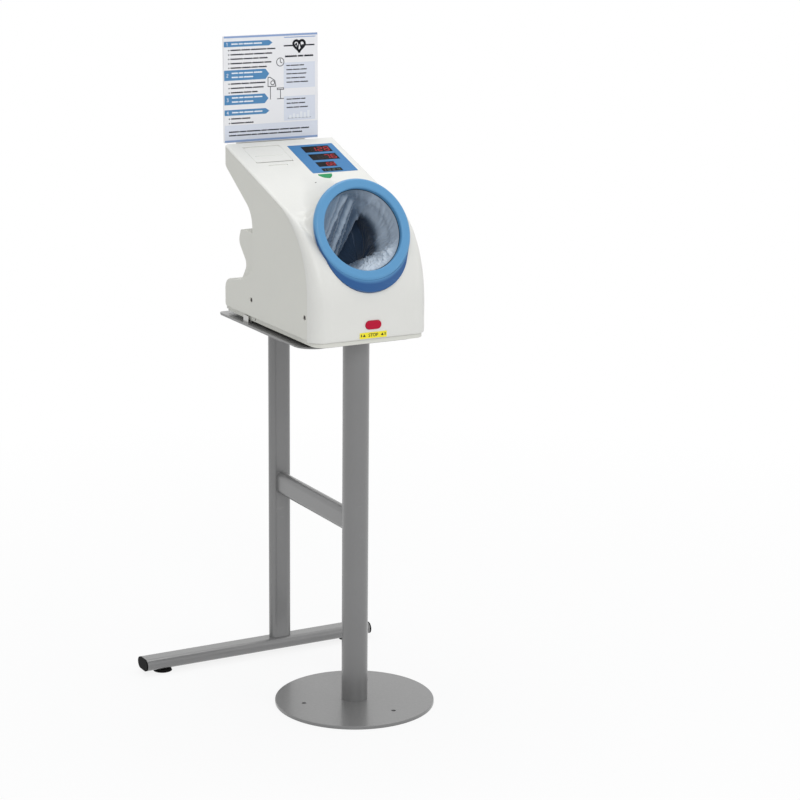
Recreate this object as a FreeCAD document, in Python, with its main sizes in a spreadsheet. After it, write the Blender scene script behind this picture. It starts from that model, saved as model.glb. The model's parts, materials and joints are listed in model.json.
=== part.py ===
"""Arm-in blood pressure monitor on its floor stand, as a parametric FreeCAD document.

Frame: millimetres, +Z up, the monitor's front faces -Y and its display is read from there.
The origin is on the floor, on the axis of the round column, under the centre of the base disc.
Every driving size is a cell of the sheet Dims. Each piece is one object with the name of its node.
"""
import FreeCAD, Part
import math
import os

import Sketcher

V = FreeCAD.Vector
Rotation = FreeCAD.Rotation
Placement = FreeCAD.Placement

DIMENSIONS = (
    # floor stand
    ("disc_radius", 155.5, "radius of the round floor disc"),
    ("disc_thickness", 6.0, "steel thickness of the floor disc"),
    ("anchor_circle_radius", 103.0, "radius of the circle of the anchor holes"),
    ("anchor_hole_radius", 4.5, "floor anchor hole"),
    ("anchor_angle", 169.6, "angle of the first anchor hole from +X"),
    ("column_radius", 25.4, "outside of the round column"),
    ("column_wall", 2.5, "wall of the round column"),
    ("oval_long", 46.0, "long side of the flat-oval tube"),
    ("oval_short", 24.0, "short side of the flat-oval tube"),
    ("oval_wall", 2.0, "wall of the flat-oval tube"),
    ("post_reach", 333.0, "rear post behind the column axis"),
    ("brace_height", 363.0, "middle of the cross brace above the floor"),
    ("foot_clearance", 7.5, "foot bar above the floor"),
    ("foot_left_reach", 305.0, "left end of the foot bar from the post"),
    ("foot_right_reach", 200.0, "right end of the foot bar from the post"),
    ("cap_thickness", 3.0, "visible part of a tube end cap"),
    ("cap_plug", 12.0, "part of an end cap inside the tube"),
    ("glide_inset", 41.0, "glide axis from the end of the foot bar"),
    ("glide_radius", 19.0, "pad of a levelling glide"),
    ("glide_pad", 5.0, "height of the glide pad"),
    ("glide_stud_radius", 4.0, "threaded stud of a glide"),
    ("running_clearance", 0.06, "radial clearance of a turning fit"),
    ("plate_height", 726.0, "top face of the monitor plate above the floor"),
    ("plate_sheet", 3.0, "sheet thickness of the monitor plate"),
    ("plate_rim", 4.5, "height of the folded rim of the plate"),
    ("plate_half_width", 127.0, "plate from its centre to its side"),
    ("plate_front", 29.5, "front edge of the plate before the column axis"),
    ("plate_overhang", 13.0, "rear edge of the plate behind the post axis"),
    ("plate_rear", "=post_reach + plate_overhang", "rear edge of the plate behind the column axis"),
    ("plate_front_corner", 38.0, "front corner radius of the plate"),
    ("rim_start", 62.0, "front end of the folded side rims"),
    ("plate_rear_corner", 10.0, "rear corner radius of the plate"),
    ("flange_thickness", 5.0, "welded flanges under the plate"),
    ("column_flange_half", 50.0, "half width of the flange on the column"),
    ("column_flange_front", 10.0, "front edge of that flange before the axis"),
    ("column_flange_rear", 62.0, "rear edge of that flange behind the axis"),
    ("column_bolt_reach", 38.0, "column bolts from the centre plane"),
    ("post_flange_half", 46.0, "half length of the post flange"),
    ("post_bolt_reach", 36.0, "post bolts from the post axis"),
    ("bolt_radius", 4.0, "M8 shank"),
    ("bolt_clearance", 0.5, "radial clearance of a bolt hole"),
    ("bolt_head_radius", 7.0, "M8 button head"),
    ("bolt_head_height", 4.5, "M8 button head height"),
    ("nut_radius", 7.5, "M8 nut across corners, half"),
    ("nut_height", 6.5, "M8 nut height"),
    # monitor casing
    ("foot_height", 6.0, "rubber feet under the monitor"),
    ("pan_drop", 8.0, "base pan below the covers' lower edge"),
    ("rubber_foot_radius", 13.0, "rubber foot"),
    ("rubber_foot_x", 88.0, "rubber feet from the centre plane"),
    ("rubber_foot_front", 14.0, "front feet behind the column axis"),
    ("rubber_foot_rear", 262.0, "rear feet behind the column axis"),
    ("body_half_width", 120.5, "half of the casing's width"),
    ("front_face", 68.0, "casing front before the column axis"),
    ("rear_face", 326.0, "casing head rear behind the column axis"),
    ("rear_top_rise", 336.0, "rear top edge above the plate"),
    ("slope_angle", 18.5, "slope of the display face, degrees"),
    ("front_arc_radius", 185.0, "arc between the front and the display face"),
    ("front_corner_radius", 28.0, "rounding between front and sides"),
    ("top_edge_radius", 8.0, "rounding between display face and sides"),
    ("bottom_round", 8.0, "rounding of the cover's lower front edge"),
    ("skin", 3.0, "wall of the mouldings"),
    ("seam", 0.4, "gap at a seam between mouldings"),
    ("fit_gap", 0.2, "gap between neighbouring inner pieces"),
    ("side_step", 1.3, "side covers stand in from the front cover"),
    ("side_front", 33.0, "front edge of the side covers before the axis"),
    ("side_arc_radius", 165.0, "arc of the side covers' front edge"),
    ("head_bottom_rise", 294.0, "lower rear corner of the head above the plate"),
    ("head_corner_radius", 12.0, "rounding of the head's lower rear corner"),
    ("underside_angle", 32.5, "slope under the head, degrees"),
    ("underside_radius", 51.0, "arc from the head's underside to the rear wall"),
    ("rear_wall", 206.0, "rear wall behind the column axis"),
    ("wall_foot_rise", 108.0, "foot of the side covers' rear edge above the plate"),
    ("deck_shoulder", 53.0, "level start of the deck behind the rear wall"),
    ("deck_start", "=rear_wall + deck_shoulder", "where the deck's side edge starts"),
    ("deck_start_rise", 81.0, "deck's side edge there above the plate"),
    ("deck_end_rise", 70.0, "deck at the rear above the plate"),
    ("deck_rear", 331.0, "rear face of the arm deck"),
    ("deck_corner_radius", 22.0, "rounding of the deck's rear top corner"),
    ("cowl_top_rise", 179.0, "top of the exit cowl above the plate"),
    ("cowl_top_length", 57.0, "cowl's top behind the rear wall"),
    ("cowl_top_reach", "=rear_wall + cowl_top_length", "rear of the cowl's top"),
    ("cowl_belly_length", 67.0, "cowl's widest point behind the rear wall"),
    ("cowl_belly_reach", "=rear_wall + cowl_belly_length", "widest point of the cowl"),
    ("cowl_belly_rise", 154.0, "cowl's widest point above the plate"),
    ("cowl_waist_length", 29.0, "cowl's narrow place behind the rear wall"),
    ("cowl_waist_reach", "=rear_wall + cowl_waist_length", "narrow place of the cowl"),
    ("cowl_waist_rise", 114.0, "narrow place above the plate"),
    # arm ring and cuff
    ("ring_forward", 28.0, "centre of the ring face before the axis"),
    ("ring_rise", 217.0, "centre of the ring face above the plate"),
    ("ring_tilt", 24.5, "lean of the ring face, degrees"),
    ("ring_outer", 99.0, "outer radius of the arm ring"),
    ("ring_inner", 79.5, "inner radius of the arm ring"),
    ("ring_depth", 10.0, "depth of the ring behind its face"),
    ("ring_round", 6.5, "rounding of the ring's outer edge"),
    ("ring_lip_round", 4.0, "rounding of the ring's inner edge"),
    ("chin_radius", 87.4, "seat of the ring's chin on the cover"),
    ("chin_forward", 35.6, "centre of that seat before the axis"),
    ("chin_rise", 184.9, "centre of that seat above the plate"),
    ("chin_skirt", 10.0, "wall of the chin behind that seat"),
    ("hood_radius", 96.0, "casing hood behind the ring"),
    ("hood_end_radius", 15.0, "radius at the buried end of the hood"),
    ("hood_end_reach", 150.0, "buried end of the hood behind the axis"),
    ("hood_end_rise", 259.0, "buried end of the hood above the plate"),
    ("blend_width", 34.0, "width of the blend between hood and casing"),
    ("retainer_thickness", 3.5, "ring that clamps the sleeve"),
    ("sleeve_thickness", 0.8, "fabric of the cuff sleeve"),
    ("drum_front_radius", 87.0, "cuff drum behind the ring"),
    ("drum_rear_radius", 80.0, "cuff drum at its rear end"),
    ("drum_wall", 2.5, "wall of the cuff drum"),
    ("drum_length", 200.0, "length of the cuff drum"),
    ("passage_radius", 64.0, "narrowest free radius of the arm passage"),
    ("bladder_start", 45.0, "front of the bladder from the ring face"),
    ("bladder_end", 178.0, "rear of the bladder from the ring face"),
    ("duct_radius", 77.0, "free radius of the rear exit"),
    ("channel_radius", 62.0, "forearm channel in the deck"),
    ("trough_lift", 17.0, "lowest place of the trough above the covers' lower edge"),
    ("channel_rise", 102.0, "axis of the forearm channel above the plate"),
    ("pad_thickness", 4.0, "arm pad in the channel"),
    # display face
    ("panel_left", 4.0, "left edge of the display panel from the centre"),
    ("panel_right", 102.0, "right edge of the display panel"),
    ("panel_top", 25.0, "top of the panel down the slope"),
    ("panel_bottom", 145.0, "bottom of the panel down the slope"),
    ("panel_thickness", 2.0, "display panel"),
    ("panel_proud", 0.4, "display panel above the casing"),
    ("panel_rebate", 2.5, "edge of the panel that rests on the casing"),
    ("window_left", 29.0, "left edge of the windows"),
    ("wide_window", 60.0, "length of the two large windows"),
    ("pulse_window", 40.0, "length of the pulse window"),
    ("clock_window", 43.0, "length of the clock window"),
    ("large_window_top", 33.0, "top of the first window down the slope"),
    ("second_window_top", 66.5, "top of the second window"),
    ("pulse_window_top", 100.5, "top of the third window"),
    ("clock_window_top", 127.5, "top of the fourth window"),
    ("large_window_height", 26.0, "height of the large windows"),
    ("pulse_window_height", 20.5, "height of the pulse window"),
    ("clock_window_height", 13.5, "height of the clock window"),
    ("module_height", 8.0, "height of the digit modules"),
    ("board_thickness", 1.6, "circuit boards"),
    ("display_board_depth", 14.0, "display board under the casing face"),
    ("main_board_depth", 34.0, "main board under the casing face"),
    ("standoff_radius", 3.0, "board standoffs"),
    ("start_centre", 25.5, "start button from the centre plane"),
    ("start_top", 152.0, "flat edge of the start button down the slope"),
    ("start_width", 31.0, "width of the start button"),
    ("start_length", 18.5, "length of the start button"),
    ("start_lean", 4.0, "round end of the start button left of its middle"),
    ("button_gap", 0.35, "gap round a button"),
    ("start_proud", 1.6, "start button above the casing"),
    ("start_travel", 1.2, "travel of the start button"),
    ("button_flange", 1.5, "hidden flange that keeps a button in"),
    ("lamp_side", -17.0, "ready lamp from the centre plane"),
    ("lamp_down", 197.5, "ready lamp down the slope"),
    ("stop_rise", 42.0, "centre of the stop button above the plate"),
    ("stop_length", 33.0, "length of the stop button"),
    ("stop_width", 16.5, "height of the stop button"),
    ("stop_proud", 2.6, "stop button before the casing"),
    ("stop_travel", 2.0, "travel of the stop button"),
    ("label_length", 57.0, "yellow strip under the stop button"),
    ("label_width", 11.5, "height of the yellow strip"),
    ("label_rise", 22.5, "centre of the strip above the plate"),
    ("label_thickness", 0.3, "yellow strip"),
    # printer
    ("printer_centre", -50.5, "printer from the centre plane"),
    ("lid_width", 79.0, "printer cover across"),
    ("lid_hinge", 20.5, "hinge axis of the printer cover down the slope"),
    ("lid_end", 84.0, "front edge of the printer cover down the slope"),
    ("lid_knuckle_radius", 2.5, "hinge barrel of the printer cover"),
    ("hinge_pin_radius", 1.2, "hinge pin"),
    ("knuckle_inset", 4.0, "barrel shorter than the cover at each side"),
    ("slot_gap", 3.0, "paper slot at the end of the cover"),
    ("ear_thickness", 3.4, "frame ears beside the barrel"),
    ("frame_depth", 42.0, "printer frame under the casing face"),
    ("frame_sheet", 1.2, "sheet of the printer frame"),
    ("roll_radius", 18.0, "paper roll"),
    ("roll_width", 57.0, "paper width"),
    ("spindle_radius", 4.0, "spindle of the paper roll"),
    ("roll_position", 56.0, "spindle down the slope"),
    ("roll_depth", 23.5, "spindle under the casing face"),
    ("platen_radius", 5.0, "platen roller"),
    ("platen_shaft_radius", 2.0, "platen shaft"),
    ("platen_position", 83.5, "platen down the slope"),
    ("platen_depth", 10.5, "platen under the casing face"),
    # sign
    ("sign_width", 205.0, "sign board across"),
    ("sign_length", 208.5, "sign board height"),
    ("sign_thickness", 4.0, "sign board"),
    ("sign_centre", -9.0, "sign board from the centre plane"),
    ("sign_standoff", 19.0, "sign board behind the head"),
    ("sign_reach", "=rear_face + sign_standoff", "lower edge of the sign board behind the axis"),
    ("sign_lean", 0.5, "lean of the sign board, degrees"),
    ("sign_bottom_rise", 335.0, "lower edge of the sign board above the plate"),
    ("holder_sheet", 2.0, "sheet of the sign holder"),
    ("holder_length", 150.0, "length of the sign holder"),
    ("holder_drop", 29.0, "shelf of the holder below the sign board"),
    ("holder_back", 62.0, "height of the holder behind the sign"),
    # screws and supplies
    ("side_screw_front", 19.0, "front side screw before the axis"),
    ("side_screw_front_rise", 57.0, "front side screw above the plate"),
    ("side_screw_rear", 211.0, "rear side screw behind the axis"),
    ("side_screw_rear_rise", 48.0, "rear side screw above the plate"),
    ("screw_recess_radius", 5.5, "recess of a side screw"),
    ("screw_head_radius", 4.0, "head of a side screw"),
    ("screw_radius", 1.9, "shank of a side screw"),
    ("inlet_x", 90.0, "power inlet from the centre plane"),
    ("switch_x", 60.0, "power switch from the centre plane"),
    ("inlet_rise", 38.0, "power inlet above the plate"),
)


class Size:
    """A length that carries its value and its formula in the sheet."""

    def __init__(self, value, text):
        self.value = float(value)
        self.text = text

    def combine(self, other, sign, flip=False):
        """Joins two lengths with one of + - * /."""
        other = size(other)
        left, right = (other, self) if flip else (self, other)
        text = "(%s %s %s)" % (left.text, sign, right.text)
        if sign == "+":
            return Size(left.value + right.value, text)
        if sign == "-":
            return Size(left.value - right.value, text)
        if sign == "*":
            return Size(left.value * right.value, text)
        return Size(left.value / right.value, text)

    def __add__(self, other):
        return self.combine(other, "+")

    def __radd__(self, other):
        return self.combine(other, "+", True)

    def __sub__(self, other):
        return self.combine(other, "-")

    def __rsub__(self, other):
        return self.combine(other, "-", True)

    def __mul__(self, other):
        return self.combine(other, "*")

    def __rmul__(self, other):
        return self.combine(other, "*", True)

    def __truediv__(self, other):
        return self.combine(other, "/")

    def __neg__(self):
        return Size(-self.value, "(0 - %s)" % self.text)

    def __float__(self):
        return self.value


def size(number):
    """Turns a plain number into a Size and leaves a Size as it is."""
    if isinstance(number, Size):
        return number
    return Size(number, "%.9g" % number)


class Dims:
    """Reads the sheet: dims.alias is a Size bound to that cell."""

    def __init__(self, document):
        self.sheet = document.addObject("Spreadsheet::Sheet", "Dims")
        levels = [
            (alias.replace("_rise", "_height"), "=plate_height + " + alias, note.replace("plate", "floor"))
            for alias, value, note in DIMENSIONS if alias.endswith("_rise")
        ]
        for row, (alias, value, note) in enumerate(DIMENSIONS + tuple(levels), 1):
            self.sheet.set("A%d" % row, note)
            self.sheet.set("B%d" % row, value if isinstance(value, str) else "%g" % value)
            self.sheet.setAlias("B%d" % row, alias)
        document.recompute()

    def __getattr__(self, alias):
        return Size(self.sheet.get(alias), "Dims.%s" % alias)


doc = FreeCAD.newDocument("arm_in_monitor")
d = Dims(doc)
parts = []


# ---------------------------------------------------------------- helpers

def sin(angle):
    """Sine of an angle in degrees."""
    return math.sin(math.radians(float(angle)))


def cos(angle):
    """Cosine of an angle in degrees."""
    return math.cos(math.radians(float(angle)))


def tan(angle):
    """Tangent of an angle in degrees."""
    return math.tan(math.radians(float(angle)))


def vec(x, y, z):
    """A FreeCAD vector from numbers or Sizes."""
    return V(float(x), float(y), float(z))


def keep(item, label):
    """Registers an object as a finished piece under its node name."""
    item.Label = label
    parts.append(item)
    return item


def bind(item, **formulas):
    """Binds properties to the sheet; Place_x, Place_y and Place_z set the position."""
    for name, number in formulas.items():
        path = name.replace("Place_", "Placement.Base.")
        item.setExpression(path, size(number).text)
    return item


def place(item, at, rotation=None):
    """Puts an object at a bound point with a fixed rotation."""
    item.Placement = Placement(vec(*at), rotation or Rotation())
    return bind(item, Place_x=at[0], Place_y=at[1], Place_z=at[2])


TURN = {
    "Z": Rotation(),
    "Y": Rotation(V(1, 0, 0), -90),
    "X": Rotation(V(0, 1, 0), 90),
    "-Y": Rotation(V(1, 0, 0), 90),
    "-X": Rotation(V(0, 1, 0), -90),
    "-Z": Rotation(V(1, 0, 0), 180),
}


def block(lengths, at):
    """A box by its bound lengths and its lowest corner."""
    item = doc.addObject("Part::Box", "block")
    bind(item, Length=lengths[0], Width=lengths[1], Height=lengths[2])
    return place(item, at)


def span(x, y, z):
    """A box between two bounds on each axis."""
    return block([size(b) - a for a, b in (x, y, z)], (x[0], y[0], z[0]))


def rod(radius, length, at, axis="Z"):
    """A cylinder that starts at a point and runs along an axis."""
    item = doc.addObject("Part::Cylinder", "rod")
    bind(item, Radius=radius, Height=length)
    return place(item, at, TURN.get(axis, axis))


def cone(first, second, length, at, axis="Z"):
    """A frustum that starts at a point and runs along an axis."""
    item = doc.addObject("Part::Cone", "cone")
    bind(item, Radius1=first, Radius2=second, Height=length)
    return place(item, at, TURN.get(axis, axis))


def cut(base, *tools):
    """The base with the tools taken away."""
    item = doc.addObject("Part::Cut", "cut")
    item.Base = base
    item.Tool = tools[0] if len(tools) == 1 else fuse(*tools)
    return item


def fuse(*items):
    """Several touching solids as one."""
    if len(items) == 1:
        return items[0]
    item = doc.addObject("Part::MultiFuse", "fuse")
    item.Shapes = list(items)
    item.Refine = True
    return item


def group(*items):
    """Separate solids in one node."""
    item = doc.addObject("Part::Compound", "group")
    item.Links = list(items)
    return item


def oval_bar(long_side, short_side, length):
    """A flat-oval bar: long side on X, short side on Y, centred, running up from Z=0."""
    round_radius = short_side / 2
    half_flat = (long_side - short_side) / 2
    middle = block((half_flat * 2, short_side, length), (-half_flat, -round_radius, 0))
    ends = [rod(round_radius, length, (side * half_flat, 0, 0)) for side in (-1, 1)]
    return fuse(middle, *ends)


def oval_tube(length):
    """A flat-oval steel tube of the stand's section, running up from Z=0."""
    outer = oval_bar(d.oval_long, d.oval_short, length)
    wall = d.oval_wall
    inner = oval_bar(d.oval_long - 2 * wall, d.oval_short - 2 * wall, length)
    return cut(outer, inner)


def corner_points(outline):
    """Replaces each rounded corner of an outline by its two tangent points.

    An outline is a list of (x, y) or (x, y, radius). The result is a list of
    (start, end, radius) for each corner, where a sharp corner has start = end.
    """
    corners = []
    count = len(outline)
    for index, corner in enumerate(outline):
        x, y = size(corner[0]), size(corner[1])
        radius = size(corner[2]) if len(corner) > 2 else size(0)
        if radius.value <= 0:
            corners.append(((x, y), (x, y), None))
            continue
        before, after = outline[index - 1], outline[(index + 1) % count]
        here = V(x.value, y.value, 0)
        back = (V(float(before[0]), float(before[1]), 0) - here).normalize()
        ahead = (V(float(after[0]), float(after[1]), 0) - here).normalize()
        reach = 1 / math.tan(back.getAngle(ahead) / 2)
        ends = []
        for way in (back, ahead):
            ends.append((x + radius * (reach * way.x), y + radius * (reach * way.y)))
        corners.append((ends[0], ends[1], radius))
    return corners


def fix_point(sketch, geometry, point, x, y):
    """Ties one end of a sketch line to the sheet, measured from the origin."""
    for kind, number in (("DistanceX", x), ("DistanceY", y)):
        rule = Sketcher.Constraint(kind, -1, 1, geometry, point, number.value)
        index = sketch.addConstraint(rule)
        sketch.setExpression("Constraints[%d]" % index, number.text)


def draw_outline(sketch, outline):
    """Draws a closed outline of lines and rounded corners, each end tied to the sheet."""
    corners = corner_points(outline)
    count = len(corners)
    for index in range(count):
        start, end = corners[index][1], corners[(index + 1) % count][0]
        line = Part.LineSegment(vec(start[0], start[1], 0), vec(end[0], end[1], 0))
        edge = sketch.addGeometry(line, False)
        fix_point(sketch, edge, 1, *start)
        fix_point(sketch, edge, 2, *end)
    for index, (start, end, radius) in enumerate(corners):
        if radius is None:
            continue
        first = vec(start[0], start[1], 0)
        last = vec(end[0], end[1], 0)
        tip = vec(outline[index][0], outline[index][1], 0)
        middle = (first + last) * 0.5
        centre_way = (middle - tip).normalize()
        half = (last - first).Length / 2
        centre = middle + centre_way * math.sqrt(max(radius.value ** 2 - half ** 2, 0))
        crown = centre - centre_way * radius.value
        if (crown - first).cross(last - crown).z > 0:
            curve, ends = Part.Arc(first, crown, last), (1, 2)
        else:
            curve, ends = Part.Arc(last, crown, first), (2, 1)
        arc = sketch.addGeometry(curve, False)
        before = (index - 1) % count
        sketch.addConstraint(Sketcher.Constraint("Coincident", arc, ends[0], before, 2))
        sketch.addConstraint(Sketcher.Constraint("Coincident", arc, ends[1], index, 1))
        rule = sketch.addConstraint(Sketcher.Constraint("Radius", arc, radius.value))
        sketch.setExpression("Constraints[%d]" % rule, radius.text)


def new_sketch(body, plane, name="outline"):
    """A sketch on one of a body's own origin planes."""
    sketch = body.newObject("Sketcher::SketchObject", name)
    origin = [f for f in body.Origin.OriginFeatures if f.Role == plane][0]
    sketch.AttachmentSupport = [(origin, "")]
    sketch.MapMode = "FlatFace"
    return sketch


def pad_body(outline, length, plane="XY_Plane", midplane=False, reverse=False):
    """A body padded from an outline on one of its origin planes."""
    body = doc.addObject("PartDesign::Body", "body")
    sketch = new_sketch(body, plane)
    draw_outline(sketch, outline)
    pad = body.newObject("PartDesign::Pad", "pad")
    pad.Profile = sketch
    bind(pad, Length=length)
    pad.Midplane = midplane
    pad.Reversed = reverse
    return body


def pocket(body, outline, depth, plane="XY_Plane", reverse=False):
    """Cuts an outline out of a padded body."""
    sketch = new_sketch(body, plane, "cutout")
    draw_outline(sketch, outline)
    hole = body.newObject("PartDesign::Pocket", "pocket")
    hole.Profile = sketch
    bind(hole, Length=depth)
    hole.Reversed = reverse
    body.Tip = hole
    return hole


def turned_body(outline):
    """A body turned about its Z axis from an outline of (radius, height) points."""
    body = doc.addObject("PartDesign::Body", "turned")
    sketch = new_sketch(body, "XZ_Plane")
    draw_outline(sketch, outline)
    turning = body.newObject("PartDesign::Revolution", "turning")
    turning.Profile = sketch
    turning.ReferenceAxis = (sketch, ["V_Axis"])
    turning.Angle = 360
    return body


def rectangle(x, y, radius=0):
    """An outline between two bounds on each axis, with equal corner radii."""
    return [(x[0], y[0], radius), (x[1], y[0], radius), (x[1], y[1], radius), (x[0], y[1], radius)]


def free_shape(shape, label):
    """A piece whose surface no feature of the workbenches makes directly."""
    item = doc.addObject("Part::Feature", label)
    item.Shape = shape
    return item


# ---------------------------------------------------------------- frames of reference

SLOPE_TURN = Rotation(V(1, 0, 0), float(d.slope_angle))
RING_TURN = Rotation(V(1, 0, 0), 90 - float(d.ring_tilt))
base_height = d.plate_height + d.foot_height
cover_height = base_height + d.pan_drop
floor_top = base_height + d.skin


def slope_point(x, down, out=0):
    """A point by its distance down the display slope and its height above that face."""
    y = d.rear_face - down * cos(d.slope_angle) - out * sin(d.slope_angle)
    z = d.rear_top_height - down * sin(d.slope_angle) + out * cos(d.slope_angle)
    return (x, y, z)


def face_height(x, down):
    """Height of the real casing face over the plain slope at one place."""
    slope = Profile(-float(d.front_face), float(d.front_arc_radius), 0.0)
    station = (vec(*slope_point(0, size(down))), slope.normal, 1.0, 1.0)
    point = skin_point(station, float(x), 0.0, 0.0)
    return (point - station[0]).dot(slope.normal)


def on_slope(item, x=0, down=0, out=0):
    """Puts an object on the display slope: its X across, its Y up the slope, its Z out."""
    return place(item, slope_point(size(x), size(down), size(out)), SLOPE_TURN)


def axis_point(depth, x=0, up=0):
    """A point behind the ring face along the arm axis, and up in the face's own plane."""
    depth, up = size(depth), size(up)
    y = -d.ring_forward + depth * cos(d.ring_tilt) + up * sin(d.ring_tilt)
    z = d.ring_height - depth * sin(d.ring_tilt) + up * cos(d.ring_tilt)
    return (size(x), y, z)


def on_axis(item, depth=0):
    """Puts an object on the arm axis: its Z points out of the ring, towards the user."""
    return place(item, axis_point(depth), RING_TURN)


# ---------------------------------------------------------------- floor stand

stand_nuts, mount_screws = [], []
column_top = d.plate_height - d.plate_sheet - d.flange_thickness
flange_top = d.plate_height - d.plate_sheet
bar_middle = d.foot_clearance + d.oval_short / 2
bar_top = d.foot_clearance + d.oval_short
bolt_spots = [
    (side * d.column_bolt_reach, y) for side in (-1, 1) for y in (24, d.column_flange_rear - 12)
] + [(-d.post_bolt_reach, d.post_reach - 1), (d.post_bolt_reach, d.post_reach - 1)]


def make_base_disc():
    """The floor disc with its three anchor holes."""
    body = doc.addObject("PartDesign::Body", "disc")
    sketch = new_sketch(body, "XY_Plane")
    sketch.addGeometry(Part.Circle(V(0, 0, 0), V(0, 0, 1), float(d.disc_radius)), False)
    sketch.addConstraint(Sketcher.Constraint("Coincident", 0, 3, -1, 1))
    rule = sketch.addConstraint(Sketcher.Constraint("Radius", 0, float(d.disc_radius)))
    sketch.setExpression("Constraints[%d]" % rule, d.disc_radius.text)
    pad = body.newObject("PartDesign::Pad", "pad")
    pad.Profile = sketch
    bind(pad, Length=d.disc_thickness)
    hole = new_sketch(body, "XY_Plane", "anchor_hole")
    x = d.anchor_circle_radius * cos(d.anchor_angle)
    y = d.anchor_circle_radius * sin(d.anchor_angle)
    hole.addGeometry(Part.Circle(vec(x, y, 0), V(0, 0, 1), float(d.anchor_hole_radius)), False)
    fix_point(hole, 0, 3, x, y)
    rule = hole.addConstraint(Sketcher.Constraint("Radius", 0, float(d.anchor_hole_radius)))
    hole.setExpression("Constraints[%d]" % rule, d.anchor_hole_radius.text)
    drill = body.newObject("PartDesign::Pocket", "drill")
    drill.Profile = hole
    drill.Reversed = True
    bind(drill, Length=d.disc_thickness)
    ring = body.newObject("PartDesign::PolarPattern", "anchor_holes")
    ring.Originals = [drill]
    ring.Axis = (sketch, ["N_Axis"])
    ring.Angle = 360
    ring.Occurrences = 3
    body.Tip = ring
    doc.recompute()
    rim = body.newObject("PartDesign::Chamfer", "rim")
    rims = [
        "Edge%d" % number
        for number, edge in enumerate(ring.Shape.Edges, 1)
        if isinstance(edge.Curve, Part.Circle)
        and edge.Curve.Radius > float(d.disc_radius) - 1
        and edge.BoundBox.ZMin > float(d.disc_thickness) - 0.01
    ]
    rim.Base = (ring, rims)
    rim.Size = 1.0
    body.Tip = rim
    keep(body, "base_disc")


def make_column():
    """The round column and the flange welded to its top."""
    length = flange_top - d.disc_thickness
    at = (0, 0, d.disc_thickness)
    tube = cut(rod(d.column_radius, length, at), rod(d.column_radius - d.column_wall, length, at))
    half = d.column_flange_half
    plate = span((-half, half), (-d.column_flange_front, d.column_flange_rear), (column_top, flange_top))
    hole = d.bolt_radius + d.bolt_clearance
    drills = [rod(hole, d.flange_thickness, (x, y, column_top)) for x, y in bolt_spots[:4]]
    bore = rod(d.column_radius - d.column_wall, d.flange_thickness, (0, 0, column_top))
    keep(fuse(tube, cut(plate, bore, *drills)), "stand_column")


def make_rear_frame():
    """The rear post with its flange, the cross brace and the foot bar."""
    post = oval_tube(column_top - bar_top)
    place(post, (0, d.post_reach, bar_top))
    plate = span((-d.post_flange_half, d.post_flange_half),
                 (d.post_reach - d.oval_short / 2 - 6, d.plate_rear - d.plate_sheet - d.fit_gap),
                 (column_top, flange_top))
    hole = d.bolt_radius + d.bolt_clearance
    drills = [rod(hole, d.flange_thickness, (x, y, column_top)) for x, y in bolt_spots[4:]]
    keep(fuse(post, cut(plate, *drills)), "rear_post")
    brace = oval_tube(d.post_reach - d.oval_short / 2)
    brace.Placement = Placement(V(0, 0, 0), Rotation(V(1, 0, 0), -90) * Rotation(V(0, 0, 1), 90))
    bind(brace, Place_z=d.brace_height)
    coping = rod(d.column_radius, d.plate_height, (0, 0, 0))
    keep(cut(brace, coping), "cross_brace")
    length = d.foot_left_reach + d.foot_right_reach
    bar = oval_tube(length)
    bar.Placement = Placement(V(0, 0, 0), Rotation(V(0, 1, 0), 90) * Rotation(V(0, 0, 1), 90))
    bind(bar, Place_x=-d.foot_left_reach, Place_y=d.post_reach, Place_z=bar_middle)
    drills = [
        rod(d.glide_stud_radius + d.running_clearance, d.oval_short / 2, (x, d.post_reach, d.foot_clearance))
        for x in glide_places
    ]
    keep(cut(bar, *drills), "foot_bar")


glide_places = (d.glide_inset - d.foot_left_reach, d.foot_right_reach - d.glide_inset)


def make_end_caps():
    """Plugs in both ends of the foot bar."""
    caps = []
    for end, way in ((-d.foot_left_reach, -1), (d.foot_right_reach, 1)):
        face = oval_bar(d.oval_long, d.oval_short, d.cap_thickness)
        inside = 2 * (d.oval_wall + d.fit_gap)
        plug = oval_bar(d.oval_long - inside, d.oval_short - inside, d.cap_plug)
        place(plug, (0, 0, -d.cap_plug))
        cap = fuse(face, plug)
        turn = Rotation(V(0, 1, 0), 90 * way) * Rotation(V(0, 0, 1), 90)
        cap.Placement = Placement(V(0, 0, 0), turn)
        bind(cap, Place_x=end, Place_y=d.post_reach, Place_z=bar_middle)
        caps.append(cap)
    keep(group(*caps), "foot_end_caps")


def make_glides():
    """Levelling glides: pad, neck and stud, each turning in a nut inside the foot bar."""
    for label, x in zip(("foot_glide_left", "foot_glide_right"), glide_places):
        pad = cone(d.glide_radius, d.glide_radius - 2, d.glide_pad, (x, d.post_reach, 0))
        neck = rod(d.glide_stud_radius * 2, d.foot_clearance - d.glide_pad - d.fit_gap,
                   (x, d.post_reach, d.glide_pad))
        top = d.oval_wall + d.nut_height
        stud = rod(d.glide_stud_radius, d.foot_clearance - d.glide_pad + top, (x, d.post_reach, d.glide_pad))
        keep(fuse(pad, neck, stud), label)
        seat = d.foot_clearance + d.oval_wall
        nut = rod(d.nut_radius, d.nut_height, (x, d.post_reach, seat))
        bore = rod(d.glide_stud_radius + d.running_clearance, d.nut_height, (x, d.post_reach, seat))
        stand_nuts.append(cut(nut, bore))


def plate_outline(inset):
    """The monitor plate's outline, inset by a distance."""
    x = d.plate_half_width - inset
    y = (-d.plate_front + inset, d.plate_rear - inset)
    front, rear = d.plate_front_corner - inset, d.plate_rear_corner - inset
    return [(-x, y[0], front), (x, y[0], front), (x, y[1], rear), (-x, y[1], rear)]


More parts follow.
